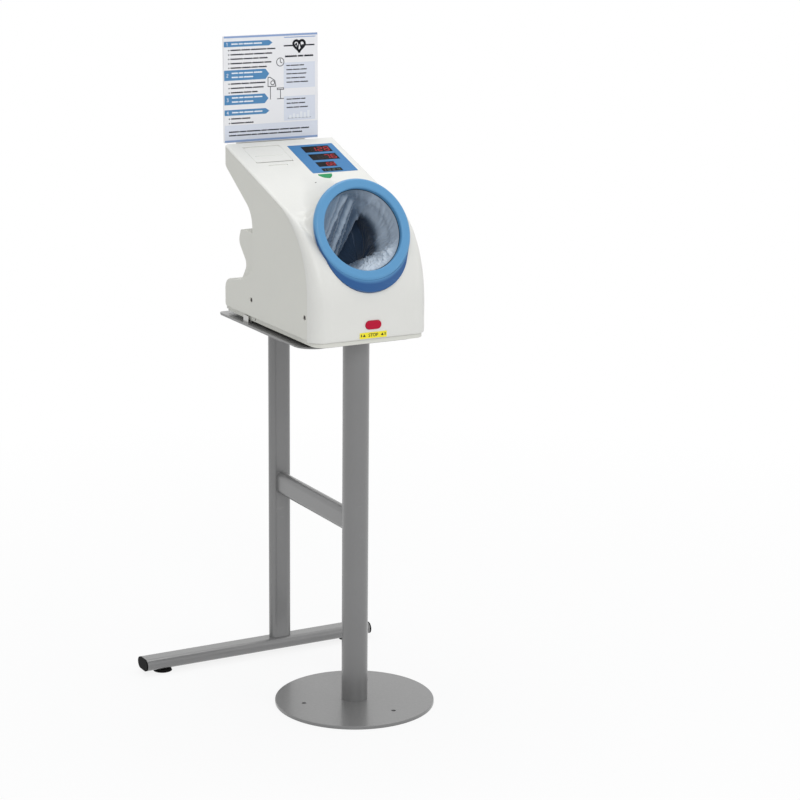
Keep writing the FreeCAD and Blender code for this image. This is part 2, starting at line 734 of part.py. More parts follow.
def make_top_plate():
    """The folded plate that carries the monitor."""
    sheet = pad_body(plate_outline(0), d.plate_sheet)
    place(sheet, (0, 0, flange_top))
    low = d.plate_height - d.plate_rim
    rims = []
    for side in (-1, 1):
        x = sorted((side * d.plate_half_width, side * (d.plate_half_width - d.plate_sheet)), key=float)
        rims.append(span(x, (d.rim_start, d.plate_rear - d.plate_rear_corner), (low, flange_top)))
    hole = d.bolt_radius + d.bolt_clearance
    drills = [rod(hole, d.plate_sheet, (x, y, flange_top)) for x, y in bolt_spots]
    drills += [rod(foot_screw_radius + d.bolt_clearance, d.plate_sheet, (x, y, flange_top))
               for x, y in foot_spots]
    keep(cut(fuse(sheet, *rims), *drills), "top_plate")


foot_screw_radius = d.bolt_radius / 2
foot_spots = [
    (side * d.rubber_foot_x, y)
    for side in (-1, 1) for y in (d.rubber_foot_front, d.rubber_foot_rear)
]


def make_plate_fasteners():
    """Bolts and nuts between the plate and the two flanges."""
    bolts = []
    for x, y in bolt_spots:
        head = cone(d.bolt_head_radius, d.bolt_head_radius - 2, d.bolt_head_height, (x, y, d.plate_height))
        grip = d.plate_sheet + d.flange_thickness + d.nut_height
        shank = rod(d.bolt_radius, grip, (x, y, d.plate_height - grip))
        bolts.append(fuse(head, shank))
        nut = rod(d.nut_radius, d.nut_height, (x, y, column_top - d.nut_height))
        bore = rod(d.bolt_radius, d.nut_height, (x, y, column_top - d.nut_height))
        stand_nuts.append(cut(nut, bore))
    keep(group(*bolts), "plate_bolts")
    keep(group(*stand_nuts), "stand_nuts")


def make_rubber_feet():
    """Feet under the casing, each bolted through the plate by a foot screw."""
    feet = []
    for x, y in foot_spots:
        foot = cone(d.rubber_foot_radius, d.rubber_foot_radius - 1.5, d.foot_height, (x, y, d.plate_height))
        feet.append(cut(foot, rod(foot_screw_radius, d.foot_height, (x, y, d.plate_height))))
        head = rod(foot_screw_radius * 2, foot_screw_radius, (x, y, flange_top - foot_screw_radius))
        shank = rod(foot_screw_radius, d.plate_sheet + d.foot_height, (x, y, flange_top))
        mount_screws.append(fuse(head, shank))
    keep(group(*feet), "rubber_feet")


def make_hold_downs():
    """Clips at both sides that hold the casing to the plate, and their screws."""
    clips = []
    sheet = d.holder_sheet
    y = (d.rubber_foot_rear - 42, d.rubber_foot_rear - 20)
    middle = (y[0] + y[1]) / 2
    outside = side_outer + d.fit_gap
    for side in (-1, 1):
        rise = span((outside, outside + sheet), y, (d.plate_height, cover_height))
        tread = span((outside - 17, outside + sheet), y, (d.plate_height, d.plate_height + sheet))
        hole = rod(foot_screw_radius + 0.1, sheet, (outside - 9, middle, d.plate_height))
        clip = cut(fuse(rise, tread), hole)
        head = rod(foot_screw_radius * 2, foot_screw_radius, (outside - 9, middle, d.plate_height + sheet))
        shank = rod(foot_screw_radius, sheet, (outside - 9, middle, d.plate_height))
        screw = fuse(head, shank)
        if side < 0:
            clip, screw = mirrored(clip), mirrored(screw)
        clips.append(clip)
        mount_screws.append(screw)
    keep(group(*clips), "hold_down_clips")
    keep(group(*mount_screws), "mount_screws")


def mirrored(item):
    """The other hand of a piece, across the centre plane."""
    mirror = doc.addObject("Part::Mirroring", "mirror")
    mirror.Source = item
    mirror.Normal = V(1, 0, 0)
    return mirror


# ---------------------------------------------------------------- casing skin

side_outer = d.body_half_width - d.side_step
side_inner = side_outer - d.skin
core_half = side_inner - d.seam


class Profile:
    """Side view of the casing: a vertical front, an arc and the display slope."""

    def __init__(self, front, radius, drop):
        """front is the front line's Y, drop the distance of the slope under the real face."""
        angle = float(d.slope_angle)
        self.front = front
        self.radius = radius
        self.normal = V(0, -sin(angle), cos(angle))
        self.uphill = V(0, cos(angle), sin(angle))
        self.rear = vec(0, d.rear_face, d.rear_top_height) - self.normal * drop
        y = front + radius
        z = self.rear.z + (-radius - (y - self.rear.y) * self.normal.y) / self.normal.z
        self.centre = V(0, y, z)
        self.top = self.centre + self.normal * radius

    def at_y(self, y):
        """The point of the slope line at a given Y."""
        return self.top + self.uphill * ((y - self.top.y) / self.uphill.y)

    def arc(self):
        """The edge between the front and the slope."""
        way = (self.normal + V(0, -1, 0)).normalize()
        return Part.Arc(V(0, self.front, self.centre.z), self.centre + way * self.radius, self.top).toShape()

    def stations(self, bottom, rear_y):
        """Points up the front, round the arc and up the slope, with their normals."""
        out = V(0, -1, 0)
        lift = (0.0, 0.12, 0.45, 1.0)
        round_height = float(d.bottom_round)
        result = []
        for share in lift:
            result.append((V(0, self.front, bottom + share * round_height), out, 0.0, share))
        start = bottom + round_height
        for step in (0.25, 0.5, 0.75):
            height = start + (self.centre.z - start) * step
            result.append((V(0, self.front, height), out, 0.0, 1.0))
        turn = math.radians(90 - float(d.slope_angle))
        for step in range(15):
            angle = turn * step / 14
            normal = V(0, -math.cos(angle), math.sin(angle))
            result.append((self.centre + normal * self.radius, normal, step / 14, 1.0))
        end = self.at_y(rear_y)
        for step in range(1, 13):
            point = self.top + (end - self.top) * (step / 12)
            result.append((point, self.normal, 1.0, 1.0))
        return result


def hood_distance(point, inset):
    """Distance of a point outside the tapered hood behind the ring, negative inside."""
    start = vec(*axis_point(d.ring_depth))
    end = vec(0, d.hood_end_reach, d.hood_end_height)
    outward = V(0, -cos(d.ring_tilt), sin(d.ring_tilt))
    depth = -(point - start).dot(outward)
    length = -(end - start).dot(outward)
    share = min(max(depth / length, -0.2), 1.0)
    middle = start + (end - start) * share
    radius = float(d.hood_radius) + (float(d.hood_end_radius) - float(d.hood_radius)) * share
    across = point - middle
    across = across - outward * across.dot(outward)
    return max(across.Length - (radius - inset), -depth - 4.0 + inset)


def blend(first, second, width):
    """Smooth union of two distances over a width."""
    overlap = max(width - abs(first - second), 0.0) / width
    return min(first, second) - overlap * overlap * width / 4


def hood_share(point, start, full):
    """0 below one height of the ring and 1 above another, smooth between."""
    up = (point.z - float(d.ring_height)) / cos(d.ring_tilt)
    share = min(max((up - start) / (full - start), 0.0), 1.0)
    return share * share * (3 - 2 * share)


def skin_point(station, x, sink, inset):
    """Where the skin lies along a station's normal at a distance from the centre plane."""
    base, normal, _, _ = station
    across = V(x, 0, 0)
    low, high = -sink - 2.0, 90.0
    for _ in range(40):
        middle = (low + high) / 2
        point = base + across + normal * middle
        hood = hood_distance(point, inset) + 22 * (1 - hood_share(point, -45, 5))
        if blend(middle + sink, hood, 1 + float(d.blend_width) * hood_share(point, -35, 35)) < 0:
            low = middle
        else:
            high = middle
    return base + across + normal * ((low + high) / 2)


def skin_grid(inset, open_rear):
    """Rows of points over the casing's front and top, from the left side to the right."""
    profile = Profile(-float(d.front_face) + inset, float(d.front_arc_radius) - inset, inset)
    rear = float(d.rear_face) + open_rear
    bottom = float(cover_height) - open_rear
    half = float(d.body_half_width) - inset
    columns = [(0.0, angle) for angle in (90, 75, 60, 45, 30, 15)]
    columns += [(share, 0) for share in (0.0, 0.1, 0.22, 0.36, 0.52, 0.68, 0.84)]
    grid = []
    stations = profile.stations(bottom, rear)
    for side in (-1, 1):
        rows = []
        for share, angle in columns:
            row = []
            for station in stations:
                eased = station[2] * station[2] * (3 - 2 * station[2])
                radius = float(d.front_corner_radius) * (1 - eased) + float(d.top_edge_radius) * eased - inset
                radius = max(radius, 2.0)
                flat = half - radius
                x = flat * (1 - share) + radius * sin(angle)
                sink = radius * (1 - cos(angle))
                if open_rear == 0:
                    rest = float(d.bottom_round) * (1 - station[3])
                    sink += 0.5 * (float(d.bottom_round) - math.sqrt(float(d.bottom_round) ** 2 - rest ** 2))
                row.append(skin_point(station, side * x, sink, inset))
            rows.append(row)
        grid += rows if side < 0 else [[skin_point(s, 0.0, centre_sink(s, open_rear), inset) for s in stations]]
        if side > 0:
            grid += rows[::-1]
    for row in grid:
        row[-1] = row[-1] + profile.uphill * ((rear - row[-1].y) / profile.uphill.y)
    return grid


def centre_sink(station, open_rear):
    """How far the lower edge rolls in on the centre plane."""
    if open_rear:
        return 0.0
    rest = float(d.bottom_round) * (1 - station[3])
    return 0.5 * (float(d.bottom_round) - math.sqrt(float(d.bottom_round) ** 2 - rest ** 2))


def square_borders(surface):
    """Makes the four borders of the skin exactly flat."""
    rows = surface.getPoles()
    last, end = len(rows), len(rows[0])
    for u, row in enumerate(rows, 1):
        for v, pole in enumerate(row, 1):
            if u in (1, last):
                pole.x = row[0].x
            if v == 1:
                pole.z = rows[0][0].z
            if v == end:
                pole.y = rows[0][-1].y
            if u in (1, last) or v in (1, end):
                surface.setPole(u, v, pole)


def skin_solid(inset, open_rear=0.0):
    """The casing as a solid: one smooth surface over front and top, flat elsewhere."""
    plate = vec(0, 0, d.plate_height)
    surface = Part.BSplineSurface()
    surface.interpolate([[settled(point - plate) for point in row] for row in skin_grid(inset, open_rear)])
    square_borders(surface)
    low_x, high_x, low_t, high_t = surface.bounds()
    left, right = surface.uIso(low_x).toShape(), surface.uIso(high_x).toShape()
    front, rear = surface.vIso(low_t).toShape(), surface.vIso(high_t).toShape()
    faces = [Part.Face(surface)]
    lower = []
    for edge in (left, right):
        ends = sorted((v.Point for v in edge.Vertexes), key=lambda p: p.z)
        foot = V(ends[1].x, ends[1].y, ends[0].z)
        faces.append(Part.Face(Part.Wire(Part.sortEdges(
            [edge, Part.makeLine(ends[1], foot), Part.makeLine(foot, ends[0])])[0])))
        lower.append((ends[0], foot, ends[1]))
    bottom = Part.makeLine(lower[0][1], lower[1][1])
    sides = [Part.makeLine(low, foot) for low, foot, _ in lower]
    faces.append(Part.Face(Part.Wire(Part.sortEdges([front, bottom] + sides)[0])))
    posts = [Part.makeLine(high, foot) for _, foot, high in lower]
    faces.append(Part.Face(Part.Wire(Part.sortEdges([rear, bottom] + posts)[0])))
    shell = Part.Shell(faces)
    shell.sewShape(1e-4)
    solid = Part.Solid(Part.Shell(shell.Faces))
    if solid.Volume < 0:
        solid.reverse()
    solid.translate(plate)
    return solid


def settled(point):
    """A point rounded far below any tolerance, so that the skin is the same at every height."""
    return V(*(round(part, 9) for part in point))


def prism(wire, half_width):
    """A side-view wire pushed out to both sides of the centre plane."""
    face = Part.Face(wire)
    solid = face.extrude(vec(2 * float(half_width), 0, 0))
    solid.translate(vec(-float(half_width), 0, 0))
    return solid


def side_view(points):
    """A closed side-view wire from (y, z, radius) corners, rounded where radius is given."""
    edges = []
    corners = corner_points(points)
    for index, (start, end, radius) in enumerate(corners):
        if radius is not None:
            first, last = vec(0, *start), vec(0, *end)
            tip = vec(0, points[index][0], points[index][1])
            middle = (first + last) * 0.5
            way = (middle - tip).normalize()
            half = (last - first).Length / 2
            centre = middle + way * math.sqrt(max(radius.value ** 2 - half ** 2, 0))
            edges.append(Part.Arc(first, centre - way * radius.value, last).toShape())
        following = corners[(index + 1) % len(corners)][0]
        if (vec(0, *end) - vec(0, *following)).Length > 1e-6:
            edges.append(Part.makeLine(vec(0, *end), vec(0, *following)))
    return Part.Wire(Part.sortEdges(edges)[0])


def rear_corners(inset):
    """The rear edge of the side covers from the head down to the foot of the wall."""
    slope = tan(d.underside_angle)
    shift = inset / cos(d.underside_angle)
    rear = d.rear_face - inset
    wall = d.rear_wall - inset
    head_z = d.head_bottom_height + shift - inset * slope
    meet_z = head_z - (rear - wall) * slope
    return [(rear, head_z, d.head_corner_radius), (wall, meet_z, d.underside_radius + inset)]


def deck_line(y):
    """Height of the deck's top at a distance behind the axis."""
    fall = (d.deck_start_height - d.deck_end_height) / (d.deck_rear - d.deck_start)
    return d.deck_start_height - (y - d.deck_start) * fall


def side_region(inset):
    """Side view of a side cover, inset by a seam."""
    drop = float(d.skin) + float(d.seam) + inset
    front = Profile(-float(d.side_front) + inset, float(d.side_arc_radius) - inset, drop)
    rear = rear_corners(inset)
    low = cover_height + inset
    top_rear = front.at_y(float(rear[0][0]))
    deck = (d.deck_rear - inset, d.deck_end_height - inset, d.deck_corner_radius)
    tail = [
        (d.deck_start, d.deck_start_height - inset),
        deck,
        (d.deck_rear - inset, low, d.bottom_round),
        (front.front, low),
    ]
    wall_foot = (d.rear_wall - inset, d.wall_foot_height)
    slope_start = (front.top.y, front.top.z)
    points = [slope_start, (top_rear.y, top_rear.z)] + rear + [wall_foot] + tail
    wire = side_view(points + [(front.front, front.centre.z)])
    chord = (vec(0, front.front, front.centre.z), front.top)
    edges = [
        edge for edge in wire.Edges
        if not is_between(edge, *chord)
    ]
    edges.append(front.arc())
    return Part.Wire(Part.sortEdges(edges)[0])


def is_between(edge, first, last):
    """True for the straight edge that joins two points."""
    ends = [v.Point for v in edge.Vertexes]
    forward = ends[0].distanceToPoint(first) + ends[-1].distanceToPoint(last)
    backward = ends[0].distanceToPoint(last) + ends[-1].distanceToPoint(first)
    return min(forward, backward) < 1e-5


def circle_wire(centre, radius, tilt):
    """A circle that leans back like the ring."""
    return Part.Wire(Part.makeCircle(float(radius), centre, V(0, -cos(tilt), sin(tilt))))


def chin_solid(grow):
    """The oblique wall that carries the ring down to the front of the casing."""
    start = circle_wire(vec(*axis_point(3)), d.ring_outer - 1.1 + grow, d.ring_tilt)
    seat = vec(0, -d.chin_forward, d.chin_height)
    end = circle_wire(seat, d.chin_radius + grow, d.ring_tilt)
    back = seat + V(0, cos(d.ring_tilt), -sin(d.ring_tilt)) * float(d.chin_skirt)
    skirt = circle_wire(back, d.chin_radius + grow, d.ring_tilt)
    solid = Part.makeLoft([start, end, skirt], True, True)
    if solid.Volume < 0:
        solid.reverse()
    return solid


def lower_half(shape):
    """The part of a ring shape below its middle."""
    return shape.common(layer(base_height, d.ring_height - 10, -3 * d.front_face, d.front_face))


def layer(low, high, first, last):
    """A plain block wider than the casing, between two heights and two places behind the axis."""
    half = float(d.body_half_width) + 20
    return Part.makeBox(2 * half, float(last) - float(first), float(high) - float(low), vec(-half, first, low))


def axis_rod(radius, first, last, end_radius=None):
    """A plain solid along the arm axis between two depths behind the ring face."""
    way = V(0, cos(d.ring_tilt), -sin(d.ring_tilt))
    start = vec(*axis_point(first))
    length = float(last) - float(first)
    if end_radius is None:
        return Part.makeCylinder(float(radius), length, start, way)
    return Part.makeCone(float(radius), float(end_radius), length, start, way)


def slope_box(x, down, out):
    """A plain box in the display slope's own directions."""
    lengths = [float(b) - float(a) for a, b in (x, down, out)]
    box = Part.makeBox(*lengths)
    at = vec(*slope_point(size(x[0]), size(down[1]), size(out[0])))
    box.Placement = Placement(at, SLOPE_TURN)
    return box


def slope_prism(outline, low, high):
    """An outline of (x, distance down the slope, radius) between two heights over the face."""
    flat = [(x, -size(y)) + tuple(rest) for x, y, *rest in outline]
    wire = side_view(flat)
    wire.Placement = Placement(V(0, 0, 0), Rotation(V(1, 1, 1), -120))
    solid = Part.Face(wire).extrude(V(0, 0, float(high) - float(low)))
    solid.Placement = Placement(vec(*slope_point(0, size(0), size(low))), SLOPE_TURN)
    return solid


def start_outline(grow=0):
    """The start button: flat towards the display, round towards the user."""
    half = d.start_width / 2 + grow
    top, end = d.start_top - grow, d.start_top + d.start_length + grow
    centre = d.start_centre
    belly = centre - d.start_lean
    return [(centre - half, top, 1.5), (centre + half, top, 1.5),
            (centre + half * 0.78, top + d.start_length * 0.45, 6), (belly + half * 0.42, end, 7),
            (belly - half * 0.42, end, 7), (centre - half * 0.98, top + d.start_length * 0.45, 6)]


def make_front_cover():
    """The white cover over the front, the display slope and the edges of both sides."""
    shell = skin_solid(0.0).cut(skin_solid(float(d.skin), 30.0))
    shell = shell.cut(prism(side_region(0.0), d.body_half_width + 1))
    shell = shell.cut(lower_half(chin_solid(float(d.seam))))
    shell = shell.cut(axis_rod(d.hood_radius - d.skin, -40, d.ring_depth + 20))
    shell = shell.cut(axis_rod(d.ring_outer + d.seam, -60, d.ring_depth))
    rebate = d.panel_rebate
    gap = d.fit_gap
    panel = ((d.panel_left - gap, d.panel_right + gap), (d.panel_top - gap, d.panel_bottom + gap))
    shell = shell.cut(slope_box(panel[0], panel[1], (d.panel_proud - d.panel_thickness, 5)))
    shell = shell.cut(slope_box((d.panel_left + rebate, d.panel_right - rebate),
                                (d.panel_top + rebate, d.panel_bottom - rebate), (-9, 5)))
    half = d.lid_width / 2 + d.seam
    opening = d.lid_hinge - d.lid_knuckle_radius - d.seam
    shell = shell.cut(slope_box((d.printer_centre - half, d.printer_centre + half),
                                (opening, d.lid_end + d.slot_gap), (-9, 5)))
    shell = shell.cut(slope_prism(start_outline(d.button_gap), -9, 5))
    grip = [(d.printer_centre - 26, d.lid_end + 14, 3), (d.printer_centre + 26, d.lid_end + 14, 3),
            (d.printer_centre, d.lid_end + 37, 14)]
    shell = shell.cut(slope_prism(grip, -1.0, 5))
    stop = stadium_rod(d.stop_length + 2 * d.button_gap, d.stop_width + 2 * d.button_gap, 12)
    stop.translate(vec(0, -d.front_face - 4, d.stop_height))
    shell = shell.cut(stop)
    lamp = axis_free_rod(1.6, (d.lamp_side, d.lamp_down), -9, 25)
    shell = shell.cut(lamp)
    largest = max(shell.Solids, key=lambda s: s.Volume)
    keep(free_shape(largest, "front_cover"), "front_cover")


def axis_free_rod(radius, spot, low, high):
    """A plain rod square to the display slope."""
    rod_shape = Part.makeCylinder(float(radius), float(high) - float(low))
    rod_shape.Placement = Placement(vec(*slope_point(spot[0], size(spot[1]), size(low))), SLOPE_TURN)
    return rod_shape


def stadium_rod(length, width, depth):
    """A plain bar with round ends that runs back along +Y, centred on X and Z."""
    radius = float(width) / 2
    flat = float(length) / 2 - radius
    bar = Part.makeBox(2 * flat, float(depth), 2 * radius, V(-flat, 0, -radius))
    for x in (-flat, flat):
        bar = bar.fuse(Part.makeCylinder(radius, float(depth), V(x, 0, 0), V(0, 1, 0)))
    return bar.removeSplitter()


screw_spots = (
    (-d.side_screw_front, d.side_screw_front_height),
    (d.side_screw_rear, d.side_screw_rear_height),
)


def make_side_covers():
    """The two side covers, each with two countersunk screw places."""
    wire = side_region(float(d.seam))
    plate = Part.Face(wire).extrude(V(float(d.skin), 0, 0))
    plate.translate(vec(side_inner, 0, 0))
    rims = [
        edge for edge in plate.Edges
        if edge.BoundBox.XMin > float(side_outer) - 1e-6 and edge.BoundBox.YMin > float(d.rear_wall) - 30
    ]
    plate = plate.makeFillet(float(d.skin) * 0.6, rims)
    for y, z in screw_spots:
        outside = vec(side_outer, y, z)
        plate = plate.cut(Part.makeCylinder(float(d.screw_recess_radius), 1.2, outside, V(-1, 0, 0)))
        plate = plate.cut(Part.makeCylinder(float(d.screw_radius) + 0.3, 5, outside, V(-1, 0, 0)))
    keep(free_shape(plate, "side_cover_right"), "side_cover_right")
    keep(free_shape(plate.mirror(V(0, 0, 0), V(1, 0, 0)), "side_cover_left"), "side_cover_left")


def make_side_screws():
    """The four screws that hold the side covers to the base."""
    screws = []
    for side in (-1, 1):
        for y, z in screw_spots:
            head = side_outer - 1.2
            cap = cone(d.screw_head_radius, d.screw_head_radius - 1, 1.1,
                       (side * head, y, z), "X" if side > 0 else "-X")
            shank = rod(d.screw_radius, head - side_inner + 10,
                        (side * (side_inner - 10), y, z), "X" if side > 0 else "-X")
            screws.append(fuse(cap, shank))
    keep(group(*screws), "side_screws")


def make_rear_cover():
    """The wall behind the head, under it and down to the exit cowl."""
    outer_inset, inner_inset = 1.0, 1.0 + float(d.skin)
    top = Profile(0, 50, float(d.skin) + float(d.fit_gap))
    loops = []
    for inset in (outer_inset, inner_inset):
        rear = rear_corners(inset)
        peak = top.at_y(float(rear[0][0]))
        wall = d.rear_wall - inset
        loops.append(((float(rear[0][0]), peak.z), rear, (wall, d.cowl_top_height + d.fit_gap)))
    outer, inner = loops
    points = [outer[0]] + outer[1] + [outer[2], inner[2]] + inner[1][::-1] + [inner[0]]
    wall = prism(side_view(points), core_half)
    keep(free_shape(wall, "rear_cover"), "rear_cover")


def cowl_region(inset):
    """Side view of the exit cowl, inset by a wall; the front side stays open when inset."""
    front = d.rear_wall - 1 - d.skin - (8 if inset else 0)
    low = -8 if inset else 0.1
    return side_view([
        (front, d.cowl_top_height - inset),
        (d.cowl_top_reach - inset, d.cowl_top_height - inset, 7),
        (d.cowl_belly_reach - inset, d.cowl_belly_height, 18),
        (d.cowl_waist_reach - inset, d.cowl_waist_height, 16),
        (d.deck_start - inset, deck_line(d.deck_start - inset) + low),
        (front, deck_line(front) + low),
    ])


drum_start = d.ring_depth + d.sleeve_thickness + d.retainer_thickness + 0.4
drum_end = drum_start + d.drum_length
duct_start = drum_end + d.fit_gap
duct_end = duct_start + 120


def axis_height(y):
    """Height of the arm axis above the floor, at a place behind the column axis."""
    return d.ring_height - (y + d.ring_forward) * (sin(d.ring_tilt) / cos(d.ring_tilt))


def drum_underside(y, inset):
    """Height of the drum's underside above the floor at a place, inset into its wall."""
    slimming = (d.drum_front_radius - d.drum_rear_radius) / d.drum_length
    middle = (d.drum_front_radius + d.drum_rear_radius) / 2 - inset
    depth = (y + d.ring_forward + middle * sin(d.ring_tilt)) / cos(d.ring_tilt)
    radius = d.drum_front_radius - inset - (depth - drum_start) * slimming
    return d.ring_height - depth * sin(d.ring_tilt) - radius * cos(d.ring_tilt)


def make_rear_cowl():
    """The exit cowl and the duct that meets the cuff drum."""
    outer = prism(cowl_region(0), core_half)
    skin = float(d.skin)
    inner = prism(cowl_region(skin), float(core_half) - skin)
    duct = axis_rod(float(d.duct_radius) + skin, duct_start, duct_end)
    shell = outer.cut(inner.cut(duct))
    front, rear = -d.front_face, d.rear_wall - 5
    high, low = d.rear_top_height, deck_line(d.rear_wall) + 0.1
    limit = prism(side_view([(front, high), (rear, high), (rear, low), (front, low)]), d.body_half_width)
    shell = shell.fuse(duct.common(limit)).removeSplitter()
    shell = shell.cut(axis_rod(d.duct_radius, float(duct_start) - 5, duct_end + 10))
    largest = max(shell.Solids, key=lambda s: s.Volume)
    keep(free_shape(largest, "rear_cowl"), "rear_cowl")


def deck_region(inset):
    """Side view of the arm deck, open below and towards the drum when inset."""
    front = d.rear_wall - 1 - d.skin - (8 if inset else 0)
    rear = d.deck_rear - 1 - inset
    low = floor_top + (-8 if inset else 0.1)
    return side_view([
        (front, deck_line(front) - inset),
        (rear, deck_line(rear) - inset, d.deck_corner_radius - inset),
        (rear, low),
        (front, low),
    ])


def channel(radius, first, last):
    """A plain rod along Y in the forearm channel."""
    return Part.makeCylinder(float(radius), float(last) - float(first),
                             vec(0, first, d.channel_height), V(0, 1, 0))


def make_arm_deck():
    """The rear deck with the trough that the forearm lies in."""
    skin = float(d.skin)
    floor, behind = cover_height + d.trough_lift, d.deck_rear + 10
    above = layer(floor, d.ring_height, 0, behind)
    under = layer(floor - d.skin, d.ring_height, 0, behind)
    trough_inner = axis_rod(d.duct_radius, duct_start - 90, duct_end)
    trough_inner = trough_inner.fuse(channel(d.channel_radius, d.rear_wall - 11, behind)).common(above)
    trough_outer = axis_rod(d.duct_radius + d.skin, duct_start - 60, duct_end)
    trough_outer = trough_outer.fuse(channel(d.channel_radius + d.skin, d.rear_wall - 26, behind)).common(under)
    outer = prism(deck_region(0), core_half)
    inner = prism(deck_region(skin), float(core_half) - skin)
    tongue = axis_rod(d.duct_radius + d.skin, duct_start, duct_end).common(under)
    tongue = tongue.common(layer(base_height, deck_line(d.rear_wall), 0, d.rear_wall - d.skin))
    shell = outer.cut(inner.cut(trough_outer)).fuse(tongue).cut(trough_inner)
    rear = float(d.deck_rear) - 1
    z = float(d.inlet_height)
    inlet = Part.makeBox(27.6, 8, 20.2, V(float(d.inlet_x) - 13.8, rear - 5, z - 10.1))
    rocker = Part.makeBox(20.2, 8, 13.4, V(float(d.switch_x) - 10.1, rear - 5, z - 6.7))
    shell = shell.cut(inlet).cut(rocker)
    shell = shell.cut(Part.makeCylinder(float(d.screw_radius) + 0.2, 260,
                                        vec(-130, d.side_screw_rear, d.side_screw_rear_height), V(1, 0, 0)))
    largest = max(shell.Solids, key=lambda s: s.Volume)
    keep(free_shape(largest, "arm_deck"), "arm_deck")


def make_arm_pad():
    """The soft pad in the forearm channel."""
    outer = float(d.channel_radius) - 0.3
    first, last = float(d.rear_wall) + 34, float(d.deck_rear) - 12
    pad = channel(outer, first, last).cut(channel(outer - float(d.pad_thickness), first - 5, last + 5))
    slice_box = Part.makeBox(96, float(d.deck_rear), 60, V(-48, 0, float(d.channel_height) - 70))
    keep(free_shape(pad.common(slice_box), "arm_pad"), "arm_pad")


def make_base_pan():
    """The pan under the casing, with the posts that take the side screws."""
    skin = d.skin
    half = core_half
    front = -d.front_face + skin + 2
    rear = d.deck_rear - 1
    corner = d.front_corner_radius - skin - 2
    outer = pad_body([(-half, front, corner), (half, front, corner), (half, rear, 8), (-half, rear, 8)], skin)
    place(outer, (0, 0, base_height))
    end = d.rear_wall - 8
    walls = pad_body([(-half, front, corner), (half, front, corner), (half, end, 1), (-half, end, 1)], 9)
    inset = skin - 0.5
    pocket(walls, [(-half + inset, front + inset, corner - inset), (half - inset, front + inset, corner - inset),
                   (half - inset, end - inset, 1), (-half + inset, end - inset, 1)], 9, reverse=True)
    place(walls, (0, 0, base_height + skin))
    posts, drills = [], []
    for side in (-1, 1):
        for y, z in screw_spots:
            outside = half - skin - d.fit_gap if y.value > 0 else half
            x = sorted((side * outside, side * (half - 14)), key=float)
            posts.append(span(x, (y - 6, y + 6), (base_height, z + 6)))
            drills.append(rod(d.screw_radius, 14, (side * (half - 14), y, z), "X" if side > 0 else "-X"))
    for x, y in foot_spots:
        drills.append(rod(foot_screw_radius, skin, (x, y, base_height)))
    for step in range(6):
        angle = 60 * step
        at = (speaker_x + 9 * cos(angle), speaker_y + 9 * sin(angle), base_height)
        drills.append(rod(2, skin, at))
    drills.append(rod(2, skin, (speaker_x, speaker_y, base_height)))
    back = d.skin + 20.6 - d.front_face
    posts.append(span((-16, 16), (back, back + 3), (floor_top, d.stop_height + 12)))
    cradle = span((36, 78), (pump_y - 22, pump_y + 22), (floor_top, floor_top + 12))
    drills.append(rod(pump_radius + 0.1, 62, (26, pump_y, floor_top + pump_radius + 2), "X"))
    keep(cut(fuse(outer, walls, cradle, *posts), *drills), "base_pan")


speaker_x, speaker_y = size(-80), size(160)
pump_radius, pump_y = size(19), size(-24)


# ---------------------------------------------------------------- arm ring and cuff

def make_ring():
    """The blue arm ring: a rounded face and, below, the chin down to the casing."""
    face = turned_body([
        (d.ring_inner, -d.ring_depth), (d.ring_outer, -d.ring_depth),
        (d.ring_outer, 0, d.ring_round), (d.ring_inner, 0, d.ring_lip_round),
    ])
    on_axis(face)
    doc.recompute()
    wall = 4.0
    hollow = chin_solid(-wall).cut(axis_rod(float(d.ring_inner) + wall, -20, 80))
    behind = axis_rod(200, float(d.ring_depth) - 2.5, 120)
    chin = chin_solid(0).cut(hollow.common(behind)).cut(axis_rod(d.ring_inner, -20, 80))
    front = axis_rod(float(d.ring_outer) - 0.5, -20, 7)
    pocket_space = axis_rod(float(d.hood_radius) - float(d.skin) - 0.5, d.ring_depth, 18)
    chin = chin.cut(front).cut(pocket_space)
    lower = lower_half(chin)
    body = face.Shape.fuse(max(lower.Solids, key=lambda s: s.Volume)).removeSplitter()
    keep(free_shape(body, "arm_ring"), "arm_ring")


def make_drum():
    """The retainer, the cuff drum and its hose hole."""
    inner = d.ring_inner + 0.5
    clamp = turned_body([
        (inner, 0), (d.hood_radius - d.skin - 1, 0),
        (d.hood_radius - d.skin - 1, d.retainer_thickness), (inner, d.retainer_thickness)])
    on_axis(clamp, drum_start - 0.1)
    keep(clamp, "sleeve_retainer")
    wall = d.drum_wall
    flange = d.drum_front_radius + 4
    tube = turned_body([
        (d.drum_front_radius - wall, 0), (flange, 0), (flange, -wall), (d.drum_front_radius, -wall),
        (d.drum_rear_radius, -d.drum_length), (d.drum_rear_radius - wall, -d.drum_length)])
    on_axis(tube, drum_start)
    hole = rod(4.2, 40, (0, hose_y, hose_top - 15))
    keep(cut(tube, hole), "cuff_drum")


hose_y = size(30)
hose_top = drum_underside(hose_y, d.drum_wall / 2)


